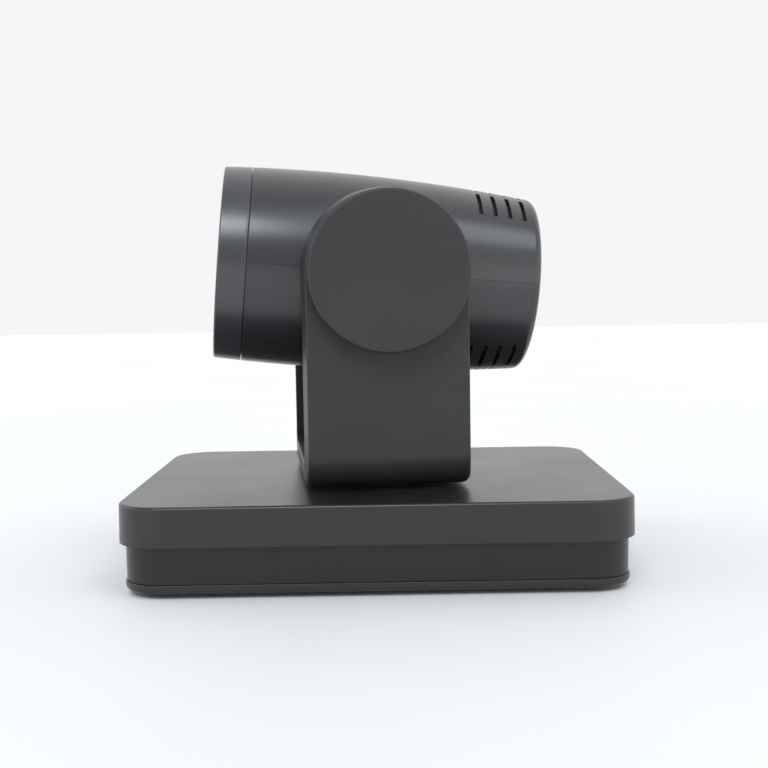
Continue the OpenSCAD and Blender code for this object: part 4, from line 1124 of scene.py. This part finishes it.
def build_panel(mat):
    """The connector panel and all that shows through it."""
    place, box = metres(OUTWARD), metres(BASE)
    low, high = span("rear_panel")
    plate = extrude_mesh(rounded(face_of("rear_panel"), 0.9), place, low.x, high.x, 0.2)
    piece = new_piece("connector_panel", plate)
    for node in ("network_jack", "usb_jack", "hdmi_jack"):
        cut(piece, extrude_mesh(rounded(face_of(node, 0.2), 0.7), place, low.x - 1, high.x + 1))
    for y, r in ((-16, 4.85), (-30, 3.1), (-41, 4.25), (-51, 4.2)):
        cut(piece, rod_mesh(r, low.x - 1, high.x + 1, place, y, ROUND_Z))
    for y in (low.y + 3.0, high.y - 3.0, 12.2):
        cut(piece, rod_mesh(0.9, high.x - 0.5, high.x + 1, place, y, 13.0, 24))
    wear(piece, mat, "base", "pan_steel", "rear_panel")

    piece, y, face, z0 = box_jack("network_shell", "network_jack", 11.8, 7.4, 1.6, 13)
    cut(piece, block_mesh((face - 13, y - 3.2, BOARD_TOP + 0.6), (face + 1, y + 3.2, z0 + 1), box, 0))
    wear(piece, mat, "base", "jack_metal", "network_jack")
    contacts("network_contacts", mat, 8, 1.02, y, 0.22, (face - 12.9, face - 3.0), (z0 + 6.6, z0 + 7.0), 0.05)

    piece, y, face, z0 = box_jack("usb_shell", "usb_jack", 12.2, 5.2, 0.9, 11)
    wear(piece, mat, "base", "jack_metal", "usb_jack")
    tongue = block_mesh((face - 10.9, y - 5.2, z0 + 2.8), (face - 1.5, y + 5.2, z0 + 4.4), box, 0.15)
    show("usb_tongue", tongue, mat, "base", "selector_blue")
    contacts("usb_contacts", mat, 4, 2.4, y, 0.5, (face - 9.5, face - 2.2), (z0 + 2.62, z0 + 2.82), 0.04)

    low, high = span("hdmi_jack")
    y, z0, face = (low.y + high.y) / 2, low.z, high.x
    shell = rounded(face_of("hdmi_jack"), [1.4, 1.4, 0.5, 0.5])
    piece = new_piece("hdmi_shell", extrude_mesh(shell, place, low.x, face, 0.15))
    inside = [(y - 5.4, z0 + 0.6), (y + 5.4, z0 + 0.6), (y + 7.0, z0 + 2.2), (y + 7.0, z0 + 5.3),
              (y - 7.0, z0 + 5.3), (y - 7.0, z0 + 2.2)]
    cut(piece, extrude_mesh(rounded(inside, 0.25), place, face - 10, face + 2))
    wear(piece, mat, "base", "jack_metal", "hdmi_jack")
    tongue = block_mesh((face - 9.9, y - 5.5, z0 + 2.6), (face - 1.0, y + 5.5, z0 + 3.8), box, 0.15)
    show("hdmi_tongue", tongue, mat, "base", "jack_plastic")
    contacts("hdmi_contacts", mat, 10, 1.0, y, 0.2, (face - 9, face - 1.4), (z0 + 3.72, z0 + 3.88), 0.03)

    build_round_jacks(mat)
    build_selector(mat)


def round_jack(name, node, collar, bore, deep, mat):
    """Moulded block behind the panel with a collar through it. Gives its middle, face and own axes."""
    low, high = span(node)
    y, face = (low.y + high.y) / 2, high.x
    panel_low, _ = span("rear_panel")
    back, floor = panel_low.x - 0.01, face - deep - 0.4
    profile = [(0, face - deep), (bore, face - deep), (bore, face - 0.3), (bore + 0.25, face),
               (collar - 0.3, face), (collar, face - 0.3), (collar, back), (bore + 0.4, back),
               (bore + 0.4, floor), (0, floor)]
    spot = metres(OUTWARD @ Matrix.Translation((y, ROUND_Z, 0)))
    body = block_mesh((low.x, low.y, low.z), (panel_low.x - 0.02, high.y, high.z), metres(BASE), 0.35)
    block = new_piece(name + "_block", body)
    cut(block, rod_mesh(collar + 0.02, face - deep - 0.42, face + 1, metres(OUTWARD), y, ROUND_Z, 64))
    wear(block, mat, "base", "jack_plastic", node)
    show(name + "_collar", lathe_mesh(profile, spot, 64), mat, "base", "jack_plastic")
    return y, face, spot


def build_round_jacks(mat):
    y, face, spot = round_jack("serial", "serial_jack", 4.7, 4.0, 6.0, mat)
    pin = [(0, face - 6.3), (0.35, face - 6.3), (0.35, face - 1.8), (0.22, face - 1.5), (0, face - 1.45)]
    pins = [lathe_mesh(pin, spot @ Matrix.Translation((px, py, 0)), 16)
            for px, py in arc(0, 0, 2.6, range(0, 360, 60))]
    show("serial_pins", joined(*pins), mat, "base", "brass")
    low, high = (face - 6.2, y - 1.2, ROUND_Z - 1.5), (face - 1.2, y + 1.2, ROUND_Z - 0.5)
    show("serial_key", block_mesh(low, high, metres(BASE), 0.1), mat, "base", "jack_plastic")

    _, face, spot = round_jack("audio", "audio_jack", 2.95, 1.8, 10, mat)
    ring = [(1.86, face - 0.6), (1.86, face), (2.3, face), (2.5, face - 0.2), (2.5, face - 0.35),
            (2.2, face - 0.6)]
    show("audio_ring", lathe_mesh(ring, spot, 48), mat, "base", "jack_metal")

    _, face, spot = round_jack("power", "power_jack", 4.05, 3.0, 9.0, mat)
    pin = [(0, face - 9.3), (1.0, face - 9.3), (1.0, face - 1.7), (0.8, face - 1.45), (0, face - 1.4)]
    show("power_pin", lathe_mesh(pin, spot, 32), mat, "base", "bearing_steel")


def build_selector(mat):
    """The rotary selector's dial: a driver slot, an arrow's mark and ten grip notches."""
    low, high = span("selector_knob")
    spot = metres(OUTWARD @ Matrix.Translation(((low.y + high.y) / 2, ROUND_Z, 0)))
    face, stem_r, dial_r, notches = high.x, 1.5, 4.0, 10
    profile = [(0, low.x), (stem_r, low.x), (stem_r, face - 3.3), (dial_r - 0.2, face - 3.3),
               (dial_r, face - 3.1), (dial_r, face - 0.35), (dial_r - 0.35, face), (0, face)]
    knob = new_piece("selector_dial", lathe_mesh(profile, spot, 64))
    slot = block_mesh((-3.0, -0.6, face - 0.85), (3.0, 0.6, face + 1), spot, 0)
    mark = [(3.0, -0.55), (3.65, 0), (3.0, 0.55)]
    cut(knob, slot, extrude_mesh(mark, spot, face - 0.3, face + 1))
    ticks = []
    for i in range(notches):
        turn = spot @ turned(math.radians(360 / notches * i), "Z")
        ticks.append(block_mesh((3.9, -0.12, face - 3.0), (4.3, 0.12, face - 0.6), turn, 0))
    cut(knob, joined(*ticks))
    wear(knob, mat, "selector", "selector_white", "selector_knob")


# ------------------------------------------------------------------ floor, light and camera

WALL_TONE = (0.985, 0.99, 1.0)
WALL_LIGHT = 0.93
ROOM_FRONT, ROOM_SIDE, ROOM_BACK, ROOM_TOP = 0.05, 1.75, 1.12, 0.40
LIT_MIDDLE = (0, 0, 0.09)
SKY_TINT = (0.84, 0.92, 1.0)

# The photograph's viewpoint in millimetres, its lens, and its yaw, pitch and roll in degrees
CAMERA_PLACE = (4.85, -539.58, 116.12)
CAMERA_LENS = 58.125
CAMERA_TURN = (-0.1415, 4.404, 0.9616)


def stage_material():
    n = Nodes("stage")
    tone = n.blend(n.fit(n.noise(3, 4), 0.3, 0.7, 0, 1), (0.74, 0.735, 0.73), (0.76, 0.755, 0.75))
    n.link(tone, n.shader.inputs["Base Color"])
    n.link(n.fit(n.noise(9, 4), 0.3, 0.7, 0.55, 0.7), n.shader.inputs["Roughness"])
    return n.material


def build_stage():
    """A plain floor, a hair below the feet, so that nothing shares its plane."""
    size, count, clear = 3.0, 24, 0.02
    mesh = bmesh.new()
    bmesh.ops.create_grid(mesh, x_segments=count, y_segments=count, size=size)
    mesh.transform(Matrix.Translation((0, 0, -clear * MM)))
    data = mesh_data("floor", mesh)
    data.materials.append(stage_material())
    new_object("floor", data)


def far_window(name, place, spread, power, tint):
    """A large soft window, far enough away to light everything alike. It faces LIT_MIDDLE."""
    data = bpy.data.lights.new(name, "SUN")
    data.angle = math.radians(spread)
    data.energy = power
    data.color = tint
    light = new_object(name, data)
    light.location = place
    light.rotation_mode = "QUATERNION"
    light.rotation_quaternion = (Vector(LIT_MIDDLE) - Vector(place)).to_track_quat("-Z", "Y")


def build_lights():
    """Three far windows, and a room that only lights and reflects: the camera sees a plain pale tone.

    The room is nearly dark behind the viewer, brightest to the left and right, bright behind the
    object and dim overhead.
    """
    world = bpy.data.worlds.new("soft_room")
    world.use_nodes = True
    tree = world.node_tree
    shown = tree.nodes["Background"]
    shown.inputs["Color"].default_value = (*WALL_TONE, 1)
    shown.inputs["Strength"].default_value = WALL_LIGHT

    def node(kind, *sources, **values):
        n = tree.nodes.new(kind)
        for key, value in values.items():
            setattr(n, key, value)
        for socket, source in zip(n.inputs, sources):
            if isinstance(source, (int, float)):
                socket.default_value = source
            elif source is not None:
                tree.links.new(source, socket)
        return n

    way = node("ShaderNodeSeparateXYZ", node("ShaderNodeTexCoord").outputs["Generated"])
    aside = node("ShaderNodeMath", way.outputs["X"], operation="ABSOLUTE")
    spread = node("ShaderNodeMapRange", aside.outputs[0], 0.03, 0.5, 0.0, 1.0)
    eased = node("ShaderNodeMath", spread.outputs[0], 0.6, operation="POWER")
    front = node("ShaderNodeMapRange", eased.outputs[0], 0.0, 1.0, ROOM_FRONT, ROOM_SIDE)
    height = node("ShaderNodeMapRange", way.outputs["Z"], 0.1, 0.8, 0.0, 1.0)
    raised = node("ShaderNodeMix", height.outputs[0], None, front.outputs[0], ROOM_TOP)
    depth = node("ShaderNodeMapRange", way.outputs["Y"], -0.5, 0.5, 0.0, 1.0)
    light = node("ShaderNodeMix", depth.outputs[0], None, raised.outputs[0], ROOM_BACK)
    room = node("ShaderNodeBackground", None, light.outputs[0])
    room.inputs["Color"].default_value = (*WALL_TONE, 1)
    seen = node("ShaderNodeLightPath").outputs["Is Camera Ray"]
    mix = node("ShaderNodeMixShader", seen, room.outputs[0], shown.outputs[0])
    tree.links.new(mix.outputs[0], tree.nodes["World Output"].inputs["Surface"])
    bpy.context.scene.world = world
    bpy.context.scene.view_settings.view_transform = "Standard"
    far_window("ceiling", (-0.15, -1.0, 1.12), 24, 1.35, SKY_TINT)
    far_window("right_window", (0.62, -0.59, 1.31), 26, 0.55, SKY_TINT)
    far_window("left_window", (-1.6, 0.3, 0.9), 30, 0.3, (1.0, 1.0, 1.0))


def build_camera():
    data = bpy.data.cameras.new("camera")
    data.sensor_width = 36.0
    data.lens = CAMERA_LENS
    data.clip_start, data.clip_end = 0.01, 20
    eye = new_object("camera", data)
    yaw, pitch, roll = (math.radians(a) for a in CAMERA_TURN)
    ahead = Vector((math.sin(yaw) * math.cos(pitch), math.cos(yaw) * math.cos(pitch), -math.sin(pitch)))
    right = Vector((math.cos(yaw), -math.sin(yaw), 0))
    up = right.cross(ahead)
    c, s = math.cos(roll), math.sin(roll)
    axes = (right * c - up * s, right * s + up * c, -ahead)
    turn = Matrix([[a[i] for a in axes] for i in range(3)])
    eye.location = Vector(CAMERA_PLACE) * MM
    eye.rotation_mode = "QUATERNION"
    eye.rotation_quaternion = turn.to_quaternion()
    bpy.context.scene.camera = eye


# ------------------------------------------------------------------ making it all

build_camera()
materials = make_materials()
build_base_cover(materials)
build_lower_shell(materials)
build_bottom_pan(materials)
build_panel(materials)
build_yoke(materials)
build_hub_caps(materials)
build_head_shells(materials)
build_front(materials)
build_lens(materials)
build_screws("base_screw_set", "base_screws", BASE, materials, "base")
build_screws("yoke_screw_set", "yoke_screws", YOKE, materials, "yoke")
build_screws("head_screw_set", "head_screws", BARREL, materials, "head")
build_stage()
build_lights()
